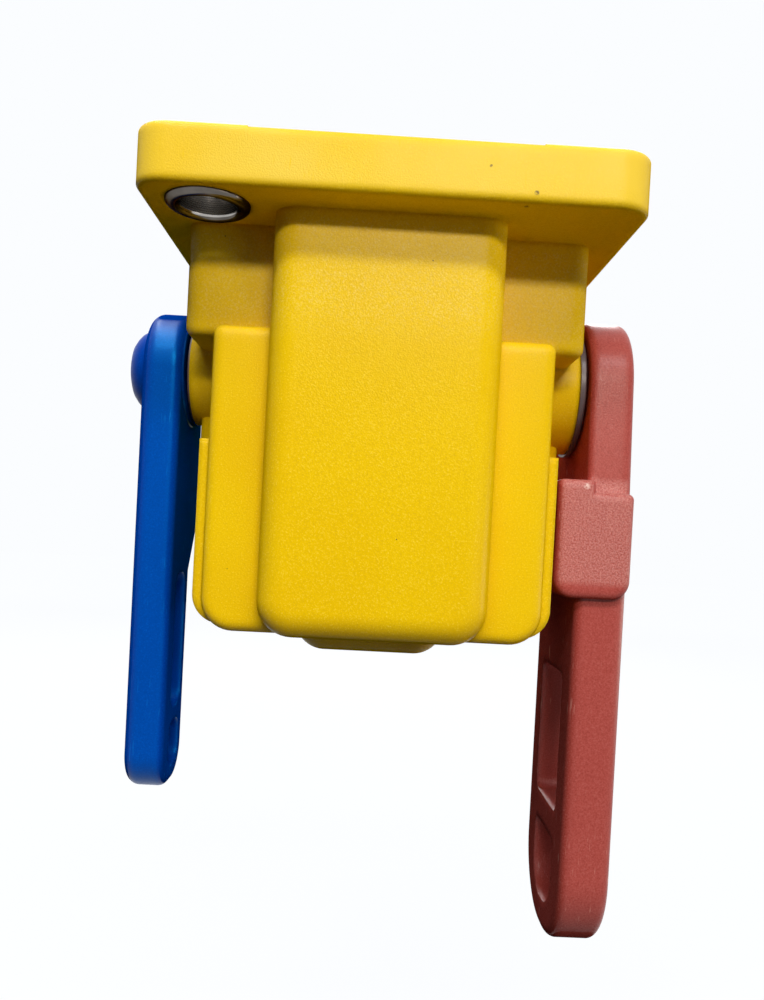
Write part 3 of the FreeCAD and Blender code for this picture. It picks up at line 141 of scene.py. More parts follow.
def sparse_specks(tree, place, spacing, radius, share):
    """Mask of small round specks: a share of the cells of a random pattern hold one each."""
    cells = add_node(tree, "ShaderNodeTexVoronoi", values={"Scale": 1.0 / spacing})
    tree.links.new(place, cells.inputs["Vector"])
    chance = add_node(tree, "ShaderNodeSeparateColor")
    tree.links.new(cells.outputs["Color"], chance.inputs["Color"])
    reach = radius / spacing
    dot = remap(tree, cells.outputs["Distance"], reach, SPECK_CORE * reach)
    empty = 1.0 - share
    return both(tree, dot, remap(tree, chance.outputs["Red"], empty, empty + SPECK_STEP))


SCUFF_SPREAD = (0.64, 0.74)
SCUFF_PATCHES = (0.52, 0.68)


def fine_scuffs(tree, place, drawn_out, size, patch_size):
    """Mask of fine straight marks in patches: a pattern drawn out along one direction."""
    drawn = add_node(tree, "ShaderNodeMapping", values={"Scale": drawn_out})
    tree.links.new(place, drawn.inputs["Vector"])
    lines = noise(tree, drawn.outputs["Vector"], 1.0 / size, detail=1.0)
    patches = noise(tree, place, 1.0 / patch_size)
    return both(tree, remap(tree, lines, *SCUFF_SPREAD), remap(tree, patches, *SCUFF_PATCHES))


MILLIMETRE = 0.001
SPOT_CORE = 0.4
RAGGED_SPREAD = (0.35, 0.55)


def spot(tree, place, middle, radius):
    """Mask of one small mark with a ragged edge, at a point of the piece in millimetres."""
    away = add_node(tree, "ShaderNodeVectorMath", {"operation": "DISTANCE"},
                    {1: tuple(value * MILLIMETRE for value in middle)})
    tree.links.new(place, away.inputs[0])
    solid = remap(tree, away.outputs["Value"], radius * MILLIMETRE, SPOT_CORE * radius * MILLIMETRE)
    ragged = remap(tree, noise(tree, place, per_metre=2500.0), *RAGGED_SPREAD)
    return both(tree, solid, ragged)


def height_on(tree, place):
    """Height on a piece, up from the level of the mounting face."""
    axes = add_node(tree, "ShaderNodeSeparateXYZ")
    tree.links.new(place, axes.inputs["Vector"])
    return axes.outputs["Z"]


def facing_mask(tree, axis, start, full):
    """Mask that falls from one to nothing over the faces that look one way along an axis."""
    facing = add_node(tree, "ShaderNodeSeparateXYZ")
    tree.links.new(add_node(tree, "ShaderNodeNewGeometry").outputs["Normal"], facing.inputs["Vector"])
    return remap(tree, facing.outputs[axis], start, full, 1.0, 0.0)


def dull_sides(tree, shader, gloss, *sides):
    """Takes the gloss off the faces that look the given ways. Each way is an axis and the share of the
    facing along it at which the gloss starts to fade and is gone."""
    level = remap(tree, facing_mask(tree, *sides[0]), 0.0, 1.0, 0.0, gloss)
    for side in sides[1:]:
        level = both(tree, level, facing_mask(tree, *side))
    tree.links.new(level, shader.inputs["Specular IOR Level"])


CLOUD_SPREAD = (0.35, 0.65)
GRAIN_SPREAD = (0.3, 0.7)
PIT_SPREAD = (0.50, 0.30)
PAINTED_GLINT_SPREAD = (0.56, 0.72)
GRAIN_TINT = 0.7
GRAIN_GLOSS = 0.06
GRAIN_STRENGTH = 0.8
SWELL_STRENGTH = 0.06
SWELL_DEPTH = 0.0006
ROUND_SAMPLES = 6


def grained_moulding(name, colours, grain_size, grain_depth, roughness, gloss, edge_round):
    """Moulding with a spark-eroded grain, its pits tinted darker and its peaks tinted paler as painted
    glints. Gives back what a section needs to add marks of its own.
    """
    colour, cloud, pit, painted_glint = colours
    material, tree, shader, place = shaded(name)
    clouds = remap(tree, noise(tree, place, per_metre=45.0), *CLOUD_SPREAD)
    grain = noise(tree, place, 1.0 / grain_size, roughness=0.6)
    skin = tinted(tree, clouds, colour, cloud)
    skin = tinted(tree, remap(tree, grain, *PIT_SPREAD, new_high=GRAIN_TINT), skin, pit)
    # Painted glints: the grain's peaks are tinted paler, standing for the sparkle of the grain in the
    # light.
    skin = tinted(tree, remap(tree, grain, *PAINTED_GLINT_SPREAD, new_high=GRAIN_TINT), skin, painted_glint)
    tree.links.new(remap(tree, grain, *GRAIN_SPREAD, roughness + GRAIN_GLOSS, roughness - GRAIN_GLOSS),
                   shader.inputs["Roughness"])
    shader.inputs["Specular IOR Level"].default_value = gloss
    rounded = add_node(tree, "ShaderNodeBevel", {"samples": ROUND_SAMPLES}, {"Radius": edge_round})
    hollows = noise(tree, place, per_metre=60.0, detail=1.0)
    swell = raised(tree, hollows, SWELL_STRENGTH, SWELL_DEPTH, rounded.outputs["Normal"])
    tree.links.new(raised(tree, grain, GRAIN_STRENGTH, grain_depth, swell), shader.inputs["Normal"])
    return material, tree, shader, place, skin


def finish_nodes(material, *names):
    """Gives solid pieces of the switch their finished material."""
    for name in names:
        mesh = nodes[name].data
        mesh.materials.clear()
        mesh.materials.append(material)


YELLOW = (0.87, 0.585, 0.0012)
YELLOW_CLOUD = (0.85, 0.55, 0.0010)
YELLOW_PIT = (0.74, 0.46, 0.0008)
YELLOW_PAINTED_GLINT = (0.93, 0.68, 0.050)
YELLOW_RUB = (0.92, 0.66, 0.045)
YELLOW_PAINTED_SPARKLE = (0.94, 0.71, 0.14)
YELLOW_PAINTED_SHEEN = (0.87, 0.62, 0.060)
YELLOW_DIRT = (0.10, 0.055, 0.012)
YELLOW_SCUFF = (0.845, 0.56, 0.0012)
YELLOW_GLOSS = 0.095
YELLOW_DULL = (("Z", -0.5, -0.9), ("X", -0.5, -0.85), ("X", 0.5, 0.85))
PAINTED_SPARKLE_FOOT, PAINTED_SPARKLE_FULL = -0.030, -0.024
PAINTED_SPARKLE_TOP, PAINTED_SPARKLE_END = -0.011, -0.009
PAINTED_SPARKLE_SPREAD = (0.50, 0.68)
PAINTED_SPARKLE_STRENGTH = 0.55
PAINTED_SHEEN_FOOT, PAINTED_SHEEN_FULL = -0.0088, -0.0078
PAINTED_SHEEN_SPREAD = (0.32, 0.62)
PAINTED_SHEEN_LEAST = 0.25
DIRT_SPOTS = (((21.5, -40.0, -7.6), 0.45), ((20.4, -38.0, -9.0), 0.5), ((14.4, -40.0, -4.0), 0.3))
yellow_moulding, tree, shader, place, skin = grained_moulding(
    "yellow_moulding", (YELLOW, YELLOW_CLOUD, YELLOW_PIT, YELLOW_PAINTED_GLINT), grain_size=0.00026,
    grain_depth=0.00005, roughness=0.24, gloss=YELLOW_GLOSS, edge_round=0.0018)
height = height_on(tree, place)
# Painted sparkle: pale speckles tinted into the band just under the flange, standing for the grain's
# glints in grazing light.
painted_sparkle_band = both(tree, remap(tree, height, PAINTED_SPARKLE_FOOT, PAINTED_SPARKLE_FULL),
                   remap(tree, height, PAINTED_SPARKLE_END, PAINTED_SPARKLE_TOP))
coarse = noise(tree, place, per_metre=3200.0, roughness=0.6)
painted_sparkle = remap(tree, coarse, *PAINTED_SPARKLE_SPREAD, new_high=PAINTED_SPARKLE_STRENGTH)
skin = tinted(tree, both(tree, painted_sparkle_band, painted_sparkle), skin, YELLOW_PAINTED_SPARKLE)
# Painted sheen: the flange is tinted paler in smears, standing for the hazy reflection on its faces.
sheen_smears = remap(tree, noise(tree, place, per_metre=32.0, detail=3.0), *PAINTED_SHEEN_SPREAD, PAINTED_SHEEN_LEAST)
skin = tinted(tree, both(tree, remap(tree, height, PAINTED_SHEEN_FOOT, PAINTED_SHEEN_FULL), sheen_smears), skin, YELLOW_PAINTED_SHEEN)
scuffs = fine_scuffs(tree, place, drawn_out=(1.0, 1.0, 0.12), size=0.0005, patch_size=0.012)
skin = tinted(tree, scuffs, skin, YELLOW_SCUFF)
specks = sparse_specks(tree, place, spacing=0.0035, radius=0.00016, share=0.08)
skin = tinted(tree, specks, skin, YELLOW_DIRT)
for middle, radius in DIRT_SPOTS:
    skin = tinted(tree, spot(tree, place, middle, radius), skin, YELLOW_DIRT)
skin = tinted(tree, rubbed_edges(tree, place, radius=0.0005), skin, YELLOW_RUB)
tree.links.new(skin, shader.inputs["Base Color"])
dull_sides(tree, shader, YELLOW_GLOSS, *YELLOW_DULL)
finish_nodes(yellow_moulding, "mounting_flange", "housing")


# Boss ribs: a rounded rib of the housing's own yellow moulding under each bearing boss, which carries
# the boss down to the split. Sizes are in millimetres; an outline point is (out from the side, y).
RIB_HALF = ((-0.5, -5.6), (0.6, -4.9), (4.4, -4.6), (5.2, -4.1), (5.5, -3.3))
RIB_OUTLINE = RIB_HALF + tuple((out, -y) for out, y in reversed(RIB_HALF))
RIB_TOP, RIB_FOOT = -37.5, -44.9
BODY_SIDE = 29.0
SHARP_ANGLE = math.radians(35.0)


def keep_piece(name, shape, material, body):
    """Turns a worked-out shape into a smooth-faced piece that rides on a body."""
    bmesh.ops.recalc_face_normals(shape, faces=shape.faces)
    mesh = bpy.data.meshes.new(name)
    shape.to_mesh(mesh)
    shape.free()
    mesh.shade_smooth()
    mesh.set_sharp_from_angle(angle=SHARP_ANGLE)
    mesh.materials.append(material)
    piece = bpy.data.objects.new(name, mesh)
    bpy.context.scene.collection.objects.link(piece)
    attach(piece, body)
    return piece


ribs = bmesh.new()
for side in (-1.0, 1.0):
    ends = []
    for z in (RIB_TOP, RIB_FOOT):
        ring = [Vector((side * (BODY_SIDE + out), y, z)) * MILLIMETRE for out, y in RIB_OUTLINE]
        ends.append([ribs.verts.new(point) for point in ring])
    top, foot = ends
    ribs.faces.new(top)
    ribs.faces.new(foot)
    for here in range(len(RIB_OUTLINE)):
        ribs.faces.new((top[here - 1], top[here], foot[here], foot[here - 1]))
keep_piece("boss_ribs", ribs, yellow_moulding, "base")


# Mounting sleeves: two steel bushes turned from bar and moulded into the flange, so that the fixing bolts
# clamp on steel. The lathe leaves fine rings round each axis and a rounded rim at the foot. The rim's
# steel is coloured dark as a painted dark reflection, and the reamed bore's steel is coloured brighter as
# a painted reflection. Sizes are in millimetres.
STAIN_SPREAD = (0.4, 0.7)
RING_GLOSS = 0.12
RING_STRENGTH = 0.15
RING_DEPTH = 0.00003


def turned_metal(name, colour, tint, roughness, rings_per_metre, rim_tint=None):
    """Machined metal: fine lathe rings in the roughness and bump, with a faint uneven tint."""
    material, tree, shader, place = shaded(name)
    shader.inputs["Metallic"].default_value = 1.0
    if rim_tint is not None:
        shader.inputs["Specular Tint"].default_value = (*rim_tint, 1.0)
    wave = add_node(tree, "ShaderNodeTexWave", {"wave_type": "BANDS", "bands_direction": "Z"},
                    {"Scale": rings_per_metre, "Distortion": 1.5, "Detail": 2.0, "Detail Scale": 2.0})
    tree.links.new(place, wave.inputs["Vector"])
    rings = wave.outputs["Fac"]
    stains = remap(tree, noise(tree, place, per_metre=300.0, detail=4.0), *STAIN_SPREAD)
    tree.links.new(tinted(tree, stains, colour, tint), shader.inputs["Base Color"])
    tree.links.new(remap(tree, rings, 0.0, 1.0, roughness, roughness + RING_GLOSS),
                   shader.inputs["Roughness"])
    tree.links.new(raised(tree, rings, RING_STRENGTH, RING_DEPTH), shader.inputs["Normal"])
    return material


# Painted reflections: the rim's steel is given a dark colour and the bore's steel a brighter one, standing
# for what each reflects; one steel in shaded and lit copies.
painted_dark_rim = turned_metal("painted_dark_rim", colour=(0.13, 0.115, 0.10), tint=(0.09, 0.08, 0.07),
                        roughness=0.12, rings_per_metre=900.0, rim_tint=(0.22, 0.20, 0.18))
painted_bright_bore = turned_metal("painted_bright_bore", colour=(0.43, 0.41, 0.385), tint=(0.34, 0.325, 0.30),
                           roughness=0.12, rings_per_metre=900.0, rim_tint=(0.40, 0.38, 0.35))
SLEEVE_X, SLEEVE_Y = 29.5, 31.5
SLEEVE_PLACES = ((-SLEEVE_X, -SLEEVE_Y, 0.0), (SLEEVE_X, SLEEVE_Y, 0.0))
SLEEVE_AXIS = (0.0, 0.0, -1.0)
SLEEVE_OUTER, SLEEVE_BORE = 6.8, 4.5
SLEEVE_FOOT, SLEEVE_BULGE = 9.1, 0.9
SLEEVE_CHAMFER = 0.4
BULGE_STEPS = 12
TURN_STEPS = 72
MERGE_DISTANCE = 1e-7


def turned_shape(profile, starts, axis):
    """Turns a profile of (radius, way along the axis) about an axis through each start."""
    shape = bmesh.new()
    along = Vector(axis)
    outward = along.orthogonal().normalized()
    for start in starts:
        middle = Vector(start)
        places = [(middle + along * way + outward * radius) * MILLIMETRE for radius, way in profile]
        points = [shape.verts.new(point) for point in places]
        ring = points + points[:1] if profile[0][0] > 0.0 else points
        edges = [shape.edges.new(pair) for pair in zip(ring, ring[1:])]
        bmesh.ops.spin(shape, geom=points + edges, cent=middle * MILLIMETRE, axis=along,
                       dvec=(0.0, 0.0, 0.0), angle=2.0 * math.pi, steps=TURN_STEPS, use_merge=True)
    bmesh.ops.remove_doubles(shape, verts=shape.verts, dist=MERGE_DISTANCE)
    return shape


rim_middle = 0.5 * (SLEEVE_OUTER + SLEEVE_BORE)
rim_half = 0.5 * (SLEEVE_OUTER - SLEEVE_BORE)
sleeve_profile = [(SLEEVE_BORE, SLEEVE_CHAMFER), (SLEEVE_BORE + SLEEVE_CHAMFER, 0.0), (SLEEVE_OUTER, 0.0)]
for step in range(BULGE_STEPS + 1):
    angle = math.pi * step / BULGE_STEPS
    rim_radius = rim_middle + rim_half * math.cos(angle)
    sleeve_profile.append((rim_radius, SLEEVE_FOOT + SLEEVE_BULGE * math.sin(angle)))
sleeves = keep_piece("turned_sleeves", turned_shape(sleeve_profile, SLEEVE_PLACES, SLEEVE_AXIS), painted_dark_rim,
                     "base")
sleeves.data.materials.append(painted_bright_bore)
for face in sleeves.data.polygons:
    side = math.copysign(1.0, face.center.x)
    from_axis = math.hypot(face.center.x - side * SLEEVE_X * MILLIMETRE,
                           face.center.y - side * SLEEVE_Y * MILLIMETRE)
    if from_axis < (SLEEVE_BORE + 0.5 * SLEEVE_CHAMFER) * MILLIMETRE:
        face.material_index = 1
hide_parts("mounting_sleeves")


# Cable entries: two nickel-plated brass inserts pressed into the nose, each cut with an M20 thread of
# 1.5 mm pitch for its gland. The thread's ridge is a sharp winding that follows the bore.
CRYSTAL_REACH = 0.7
PLATING_GLOSS = 0.15
PLATING_STRENGTH = 0.1
PLATING_DEPTH = 0.0001


def plating(name, colour, cast, roughness):
    """Plated metal: a fine crystalline cloudiness in gloss and cast."""
    material, tree, shader, place = shaded(name)
    shader.inputs["Metallic"].default_value = 1.0
    crystals = add_node(tree, "ShaderNodeTexVoronoi", values={"Scale": 700.0})
    tree.links.new(place, crystals.inputs["Vector"])
    clouds = noise(tree, place, per_metre=120.0, detail=4.0)
    tree.links.new(tinted(tree, remap(tree, clouds, *CLOUD_SPREAD), colour, cast),
                   shader.inputs["Base Color"])
    frosted = roughness + PLATING_GLOSS
    tree.links.new(remap(tree, crystals.outputs["Distance"], 0.0, CRYSTAL_REACH, roughness, frosted),
                   shader.inputs["Roughness"])
    tree.links.new(raised(tree, clouds, PLATING_STRENGTH, PLATING_DEPTH), shader.inputs["Normal"])
    return material


nickel = plating("nickel", colour=(0.50, 0.46, 0.38), cast=(0.56, 0.50, 0.36), roughness=0.20)
finish_nodes(nickel, "entry_inserts")
THREAD_SIZES = {"Bore radius": 0.0099, "Pitch": 0.0015, "Turns": 4.4, "Ridge": 0.0007}
THREAD_START = 0.0063
THREAD_STEPS = 48
RIDGE_CORNERS = 4
ENTRY_MIDDLE = (0.0125, 0.0565, -0.027)
ENTRY_TURN = math.radians(45.0)
LAID_DOWN = math.radians(-90.0)
thread_tree = bpy.data.node_groups.new("entry_thread", "GeometryNodeTree")
thread_sockets = thread_tree.interface
thread_sockets.new_socket("Geometry", in_out="OUTPUT", socket_type="NodeSocketGeometry")
thread_inputs = {}
for label in THREAD_SIZES:
    socket = thread_sockets.new_socket(label, in_out="INPUT", socket_type="NodeSocketFloat")
    thread_inputs[label] = socket.identifier
sizes = add_node(thread_tree, "NodeGroupInput")
length = add_node(thread_tree, "ShaderNodeMath", {"operation": "MULTIPLY"})
helix = add_node(thread_tree, "GeometryNodeCurveSpiral", values={"Resolution": THREAD_STEPS})
upright = add_node(thread_tree, "GeometryNodeSetCurveNormal", {"mode": "Z_UP"})
crest = add_node(thread_tree, "GeometryNodeCurvePrimitiveCircle", {"mode": "RADIUS"},
                 {"Resolution": RIDGE_CORNERS})
ridge = add_node(thread_tree, "GeometryNodeCurveToMesh", values={"Fill Caps": True})
pair = add_node(thread_tree, "GeometryNodeJoinGeometry")
solid = add_node(thread_tree, "GeometryNodeRealizeInstances")
painted = add_node(thread_tree, "GeometryNodeSetMaterial", values={"Material": nickel})
result = add_node(thread_tree, "NodeGroupOutput")
thread_links = [(sizes.outputs["Pitch"], length.inputs[0]),
                (sizes.outputs["Turns"], length.inputs[1]),
                (length.outputs["Value"], helix.inputs["Height"]),
                (sizes.outputs["Turns"], helix.inputs["Rotations"]),
                (sizes.outputs["Bore radius"], helix.inputs["Start Radius"]),
                (sizes.outputs["Bore radius"], helix.inputs["End Radius"]),
                (helix.outputs["Curve"], upright.inputs["Curve"]),
                (upright.outputs["Curve"], ridge.inputs["Curve"]),
                (sizes.outputs["Ridge"], crest.inputs["Radius"]),
                (crest.outputs["Curve"], ridge.inputs["Profile Curve"]),
                (pair.outputs["Geometry"], solid.inputs["Geometry"]),
                (solid.outputs["Geometry"], painted.inputs["Geometry"]),
                (painted.outputs["Geometry"], result.inputs["Geometry"])]
inward = math.sin(ENTRY_TURN) * THREAD_START
for side in (-1.0, 1.0):
    start = (side * (ENTRY_MIDDLE[0] - inward), ENTRY_MIDDLE[1] - inward, ENTRY_MIDDLE[2])
    seat = add_node(thread_tree, "GeometryNodeTransform",
                    values={"Translation": start, "Rotation": (LAID_DOWN, 0.0, -side * ENTRY_TURN)})
    thread_links += [(ridge.outputs["Mesh"], seat.inputs["Geometry"]),
                     (seat.outputs["Geometry"], pair.inputs["Geometry"])]
for source, target in thread_links:
    thread_tree.links.new(source, target)


def grown(name, tree, inputs, amounts):
    """Runs a tree on an empty object and keeps its result as a plain mesh at the origin."""
    holder = bpy.data.objects.new(name + "_rule", bpy.data.meshes.new(name + "_rule"))
    bpy.context.scene.collection.objects.link(holder)
    rule = holder.modifiers.new("rule", "NODES")
    rule.node_group = tree
    for label, amount in amounts.items():
        rule[inputs[label]] = amount
    bpy.context.view_layer.update()
    ready = holder.evaluated_get(bpy.context.evaluated_depsgraph_get())
    piece = bpy.data.objects.new(name, bpy.data.meshes.new_from_object(ready))
    piece.data.name = name
    holder.modifiers.remove(rule)
    bpy.data.objects.remove(holder)
    bpy.context.scene.collection.objects.link(piece)
    return piece


entry_threads = grown("entry_threads", thread_tree, thread_inputs, THREAD_SIZES)
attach(entry_threads, "base")


# Hood: the second shell of the same yellow moulding compound, which closes the body from behind and
# below. It seats on a thin black rubber gasket that shows as a dark line round the split.
finish_nodes(yellow_moulding, "hood")
BLOOM_SPREAD = (0.42, 0.68)
RUBBER_GLOSS = 0.1
RUBBER_STRENGTH = 0.35
RUBBER_DEPTH = 0.00004


def soft_rubber(name, colour, dusty, roughness):
    """Moulded rubber with a dull bloom and fine dust."""
    material, tree, shader, place = shaded(name)
    bloom = remap(tree, noise(tree, place, per_metre=260.0, detail=4.0), *BLOOM_SPREAD)
    tree.links.new(tinted(tree, bloom, colour, dusty), shader.inputs["Base Color"])
    dust = noise(tree, place, per_metre=3200.0)
    tree.links.new(remap(tree, dust, *GRAIN_SPREAD, roughness - RUBBER_GLOSS, roughness + RUBBER_GLOSS),
                   shader.inputs["Roughness"])
    tree.links.new(raised(tree, dust, RUBBER_STRENGTH, RUBBER_DEPTH), shader.inputs["Normal"])
    return material


gasket_rubber = soft_rubber("gasket_rubber", colour=(0.020, 0.017, 0.016), dusty=(0.045, 0.038, 0.034),
                            roughness=0.7)
finish_nodes(gasket_rubber, "hood_gasket")


# Screws, washer, mechanism frame and contact carrier: steel with a clear zinc plating, which has a faint
# bluish to yellowish cast. The screws are cold headed; frame and carrier are stamped and folded.
clear_zinc = plating("clear_zinc", colour=(0.31, 0.325, 0.34), cast=(0.36, 0.34, 0.29), roughness=0.30)
finish_nodes(clear_zinc, "hood_screws", "mechanism_frame", "frame_screws", "contact_carrier",
             "carrier_screws", "pull_washer", "pull_screw", "reset_screw")


# Shaft seals: dark moulded rings on the outer faces of the two bosses, against which the levers run.
# They are smooth and a little glossy from grease.
seal_rubber = soft_rubber("seal_rubber", colour=(0.070, 0.042, 0.046), dusty=(0.110, 0.070, 0.072),
                          roughness=0.36)
finish_nodes(seal_rubber, "pull_seal", "reset_seal")


# Bushes: flanged bearings of sintered bronze, pressed into the bosses. The metal is full of fine pores
# that hold its oil and show as dull dark points.
PORE_SPREAD = (0.55, 0.65)


def sintered_metal(name, colour, pore, bright, dull):
    """Pressed metal powder: bright grains with dull pores between them."""
    material, tree, shader, place = shaded(name)
    shader.inputs["Metallic"].default_value = 1.0
    pores = remap(tree, noise(tree, place, per_metre=2500.0), *PORE_SPREAD)
    tree.links.new(tinted(tree, pores, colour, pore), shader.inputs["Base Color"])
    tree.links.new(remap(tree, pores, 0.0, 1.0, bright, dull), shader.inputs["Roughness"])
    return material


sintered_bronze = sintered_metal("sintered_bronze", colour=(0.62, 0.40, 0.20), pore=(0.30, 0.18, 0.08),
                                 bright=0.32, dull=0.6)
finish_nodes(sintered_bronze, "pull_bush", "reset_bush")


# Shafts, pins, latch disc, pawl and reset cam: hardened steel, turned or milled and then ground, held
# by circlips, cross pins and squares.
bright_steel = turned_metal("bright_steel", colour=(0.15, 0.14, 0.13), tint=(0.10, 0.095, 0.09),
                            roughness=0.10, rings_per_metre=900.0)
finish_nodes(bright_steel, "pull_shaft", "reset_shaft", "pawl_pin", "latch_disc", "reset_cam",
             "reset_cam_pin", "latch_pawl")


# Springs and circlips: drawn and stamped spring steel with a dark oiled skin. The springs hook on the
# frame and the shafts, and the circlips sit in grooves of the shafts.
spring_skin = turned_metal("spring_skin", colour=(0.34, 0.33, 0.32), tint=(0.22, 0.21, 0.20),
                           roughness=0.28, rings_per_metre=500.0)
finish_nodes(spring_skin, "pull_spring", "reset_spring", "pawl_spring", "pull_circlip", "reset_circlip")


# Switching cams and plungers: off-white acetal, self-lubricating, with the smooth waxy face of a
# polished tool. The cams slide on the square of the pull shaft and push the plungers.
SMOOTH_GLOSS = 0.05
SMOOTH_STRENGTH = 0.2
SMOOTH_DEPTH = 0.00003


def smooth_moulding(name, colour, cloud, roughness):
    """Moulding from a polished tool: faint clouds of colour and an almost even gloss."""
    material, tree, shader, place = shaded(name)
    clouds = remap(tree, noise(tree, place, per_metre=90.0, detail=3.0), *CLOUD_SPREAD)
    tree.links.new(tinted(tree, clouds, colour, cloud), shader.inputs["Base Color"])
    ripple = noise(tree, place, per_metre=1800.0)
    tree.links.new(remap(tree, ripple, *GRAIN_SPREAD, roughness - SMOOTH_GLOSS, roughness + SMOOTH_GLOSS),
                   shader.inputs["Roughness"])
    tree.links.new(raised(tree, ripple, SMOOTH_STRENGTH, SMOOTH_DEPTH), shader.inputs["Normal"])
    return material


acetal = smooth_moulding("acetal", colour=(0.62, 0.60, 0.54), cloud=(0.56, 0.54, 0.47), roughness=0.38)
finish_nodes(acetal, "switching_cam_a", "switching_cam_b", "plunger_a", "plunger_b")


# Contact blocks: black heat-resistant mouldings, screwed to their carrier side by side. Each holds four
# brass terminal screws.
contact_black = smooth_moulding("contact_black", colour=(0.022, 0.023, 0.025), cloud=(0.035, 0.036, 0.038),
                                roughness=0.45)
finish_nodes(contact_black, "contact_block_a", "contact_block_b")
terminal_brass = turned_metal("terminal_brass", colour=(0.68, 0.50, 0.22), tint=(0.55, 0.38, 0.15),
                              roughness=0.22, rings_per_metre=700.0)
finish_nodes(terminal_brass, "terminal_screws")


# Pull lever: one heavy red moulding with a block for the rope's pull and two windows, clamped on the
# square of its shaft. Its grain is coarse on the front and back of the block and fine elsewhere, with pale
# flecks on the block as painted sparkle and paler grain peaks as painted glints, and its edges are scuffed
# pale.
RED = (0.41, 0.070, 0.056)
RED_CLOUD = (0.39, 0.063, 0.050)
RED_PIT = (0.28, 0.036, 0.028)
RED_PAINTED_GLINT = (0.50, 0.13, 0.11)
RED_RUB = (0.62, 0.24, 0.20)
RED_PAINTED_SPARKLE = (0.70, 0.32, 0.29)
RED_DIRT = (0.08, 0.012, 0.010)
RED_CHIP = (0.80, 0.55, 0.50)
RED_GLOSS = 0.26
INNER_SIDE, OUTER_SIDE = ("X", -0.3, -0.7), ("X", 0.3, 0.7)
UNDERSIDE = ("Z", -0.3, -0.7)
BLOCK_LOW, BLOCK_HIGH = -0.0672, -0.0484
BLOCK_BLUR = 0.0006
BLOCK_PAINTED_SPARKLE_SPREAD = (0.34, 0.66)
BLOCK_PAINTED_SPARKLE_LEAST, BLOCK_PAINTED_SPARKLE_MOST = 0.04, 0.60
SPARKLE_DEPTH = 0.00008
CHIPS = (((37.2, -17.8, -49.8), 0.7), ((38.7, -6.6, -20.8), 0.5), ((38.8, -8.2, -22.6), 0.6))
red_moulding, tree, shader, place, skin = grained_moulding(
    "red_moulding", (RED, RED_CLOUD, RED_PIT, RED_PAINTED_GLINT), grain_size=0.00030, grain_depth=0.00004,
    roughness=0.32, gloss=RED_GLOSS, edge_round=0.0020)
height = height_on(tree, place)
on_block = both(tree, remap(tree, height, BLOCK_LOW - BLOCK_BLUR, BLOCK_LOW + BLOCK_BLUR),
                remap(tree, height, BLOCK_HIGH + BLOCK_BLUR, BLOCK_HIGH - BLOCK_BLUR))
for side in (OUTER_SIDE, INNER_SIDE):
    on_block = both(tree, on_block, facing_mask(tree, *side))
# Painted sparkle: pale flecks tinted onto the front and back of the block, standing for the glints of its
# coarse grain.
coarse = noise(tree, place, per_metre=3200.0, roughness=0.6)
block_painted_sparkle = both(tree, on_block, remap(tree, coarse, *BLOCK_PAINTED_SPARKLE_SPREAD, BLOCK_PAINTED_SPARKLE_LEAST, BLOCK_PAINTED_SPARKLE_MOST))
skin = tinted(tree, block_painted_sparkle, skin, RED_PAINTED_SPARKLE)
scuffs = fine_scuffs(tree, place, drawn_out=(1.0, 0.3, 0.10), size=0.0004, patch_size=0.010)
skin = tinted(tree, scuffs, skin, RED_RUB)
specks = sparse_specks(tree, place, spacing=0.0040, radius=0.00016, share=0.12)
skin = tinted(tree, specks, skin, RED_DIRT)
for middle, radius in CHIPS:
    skin = tinted(tree, spot(tree, place, middle, radius), skin, RED_CHIP)
skin = tinted(tree, rubbed_edges(tree, place, radius=0.0004), skin, RED_RUB)
tree.links.new(skin, shader.inputs["Base Color"])
fine_grain = shader.inputs["Normal"].links[0].from_socket
tree.links.new(raised(tree, coarse, on_block, SPARKLE_DEPTH, fine_grain), shader.inputs["Normal"])
dull_sides(tree, shader, RED_GLOSS, INNER_SIDE, UNDERSIDE)
finish_nodes(red_moulding, "pull_lever")


# Reset lever: a narrow blue moulding, a little glossier than the red one, screwed on the square of its
# shaft, with a few fine pale scratches along it.
BLUE = (0.0003, 0.054, 0.400)
BLUE_CLOUD = (0.0002, 0.048, 0.370)
BLUE_PIT = (0.0002, 0.040, 0.300)
BLUE_PAINTED_GLINT = (0.001, 0.080, 0.500)
BLUE_RUB = (0.004, 0.15, 0.60)
BLUE_DIRT = (0.004, 0.012, 0.060)
BLUE_GLOSS = 0.85
BLUE_DULL = (("X", 0.3, 0.7), ("X", -0.2, -0.6), ("Z", 0.5, 0.8))
BLUE_GLOSS_TINT = (0.01, 0.45, 1.0, 1.0)
blue_moulding, tree, shader, place, skin = grained_moulding(
    "blue_moulding", (BLUE, BLUE_CLOUD, BLUE_PIT, BLUE_PAINTED_GLINT), grain_size=0.00030, grain_depth=0.00002,
    roughness=0.34, gloss=BLUE_GLOSS, edge_round=0.0010)
shader.inputs["Specular Tint"].default_value = BLUE_GLOSS_TINT
scuffs = fine_scuffs(tree, place, drawn_out=(1.0, 1.0, 0.08), size=0.00035, patch_size=0.009)
skin = tinted(tree, scuffs, skin, BLUE_RUB)
specks = sparse_specks(tree, place, spacing=0.0045, radius=0.00014, share=0.10)
skin = tinted(tree, specks, skin, BLUE_DIRT)
skin = tinted(tree, rubbed_edges(tree, place, radius=0.0004), skin, BLUE_RUB)
tree.links.new(skin, shader.inputs["Base Color"])
dull_sides(tree, shader, BLUE_GLOSS, *BLUE_DULL)
finish_nodes(blue_moulding, "reset_lever")


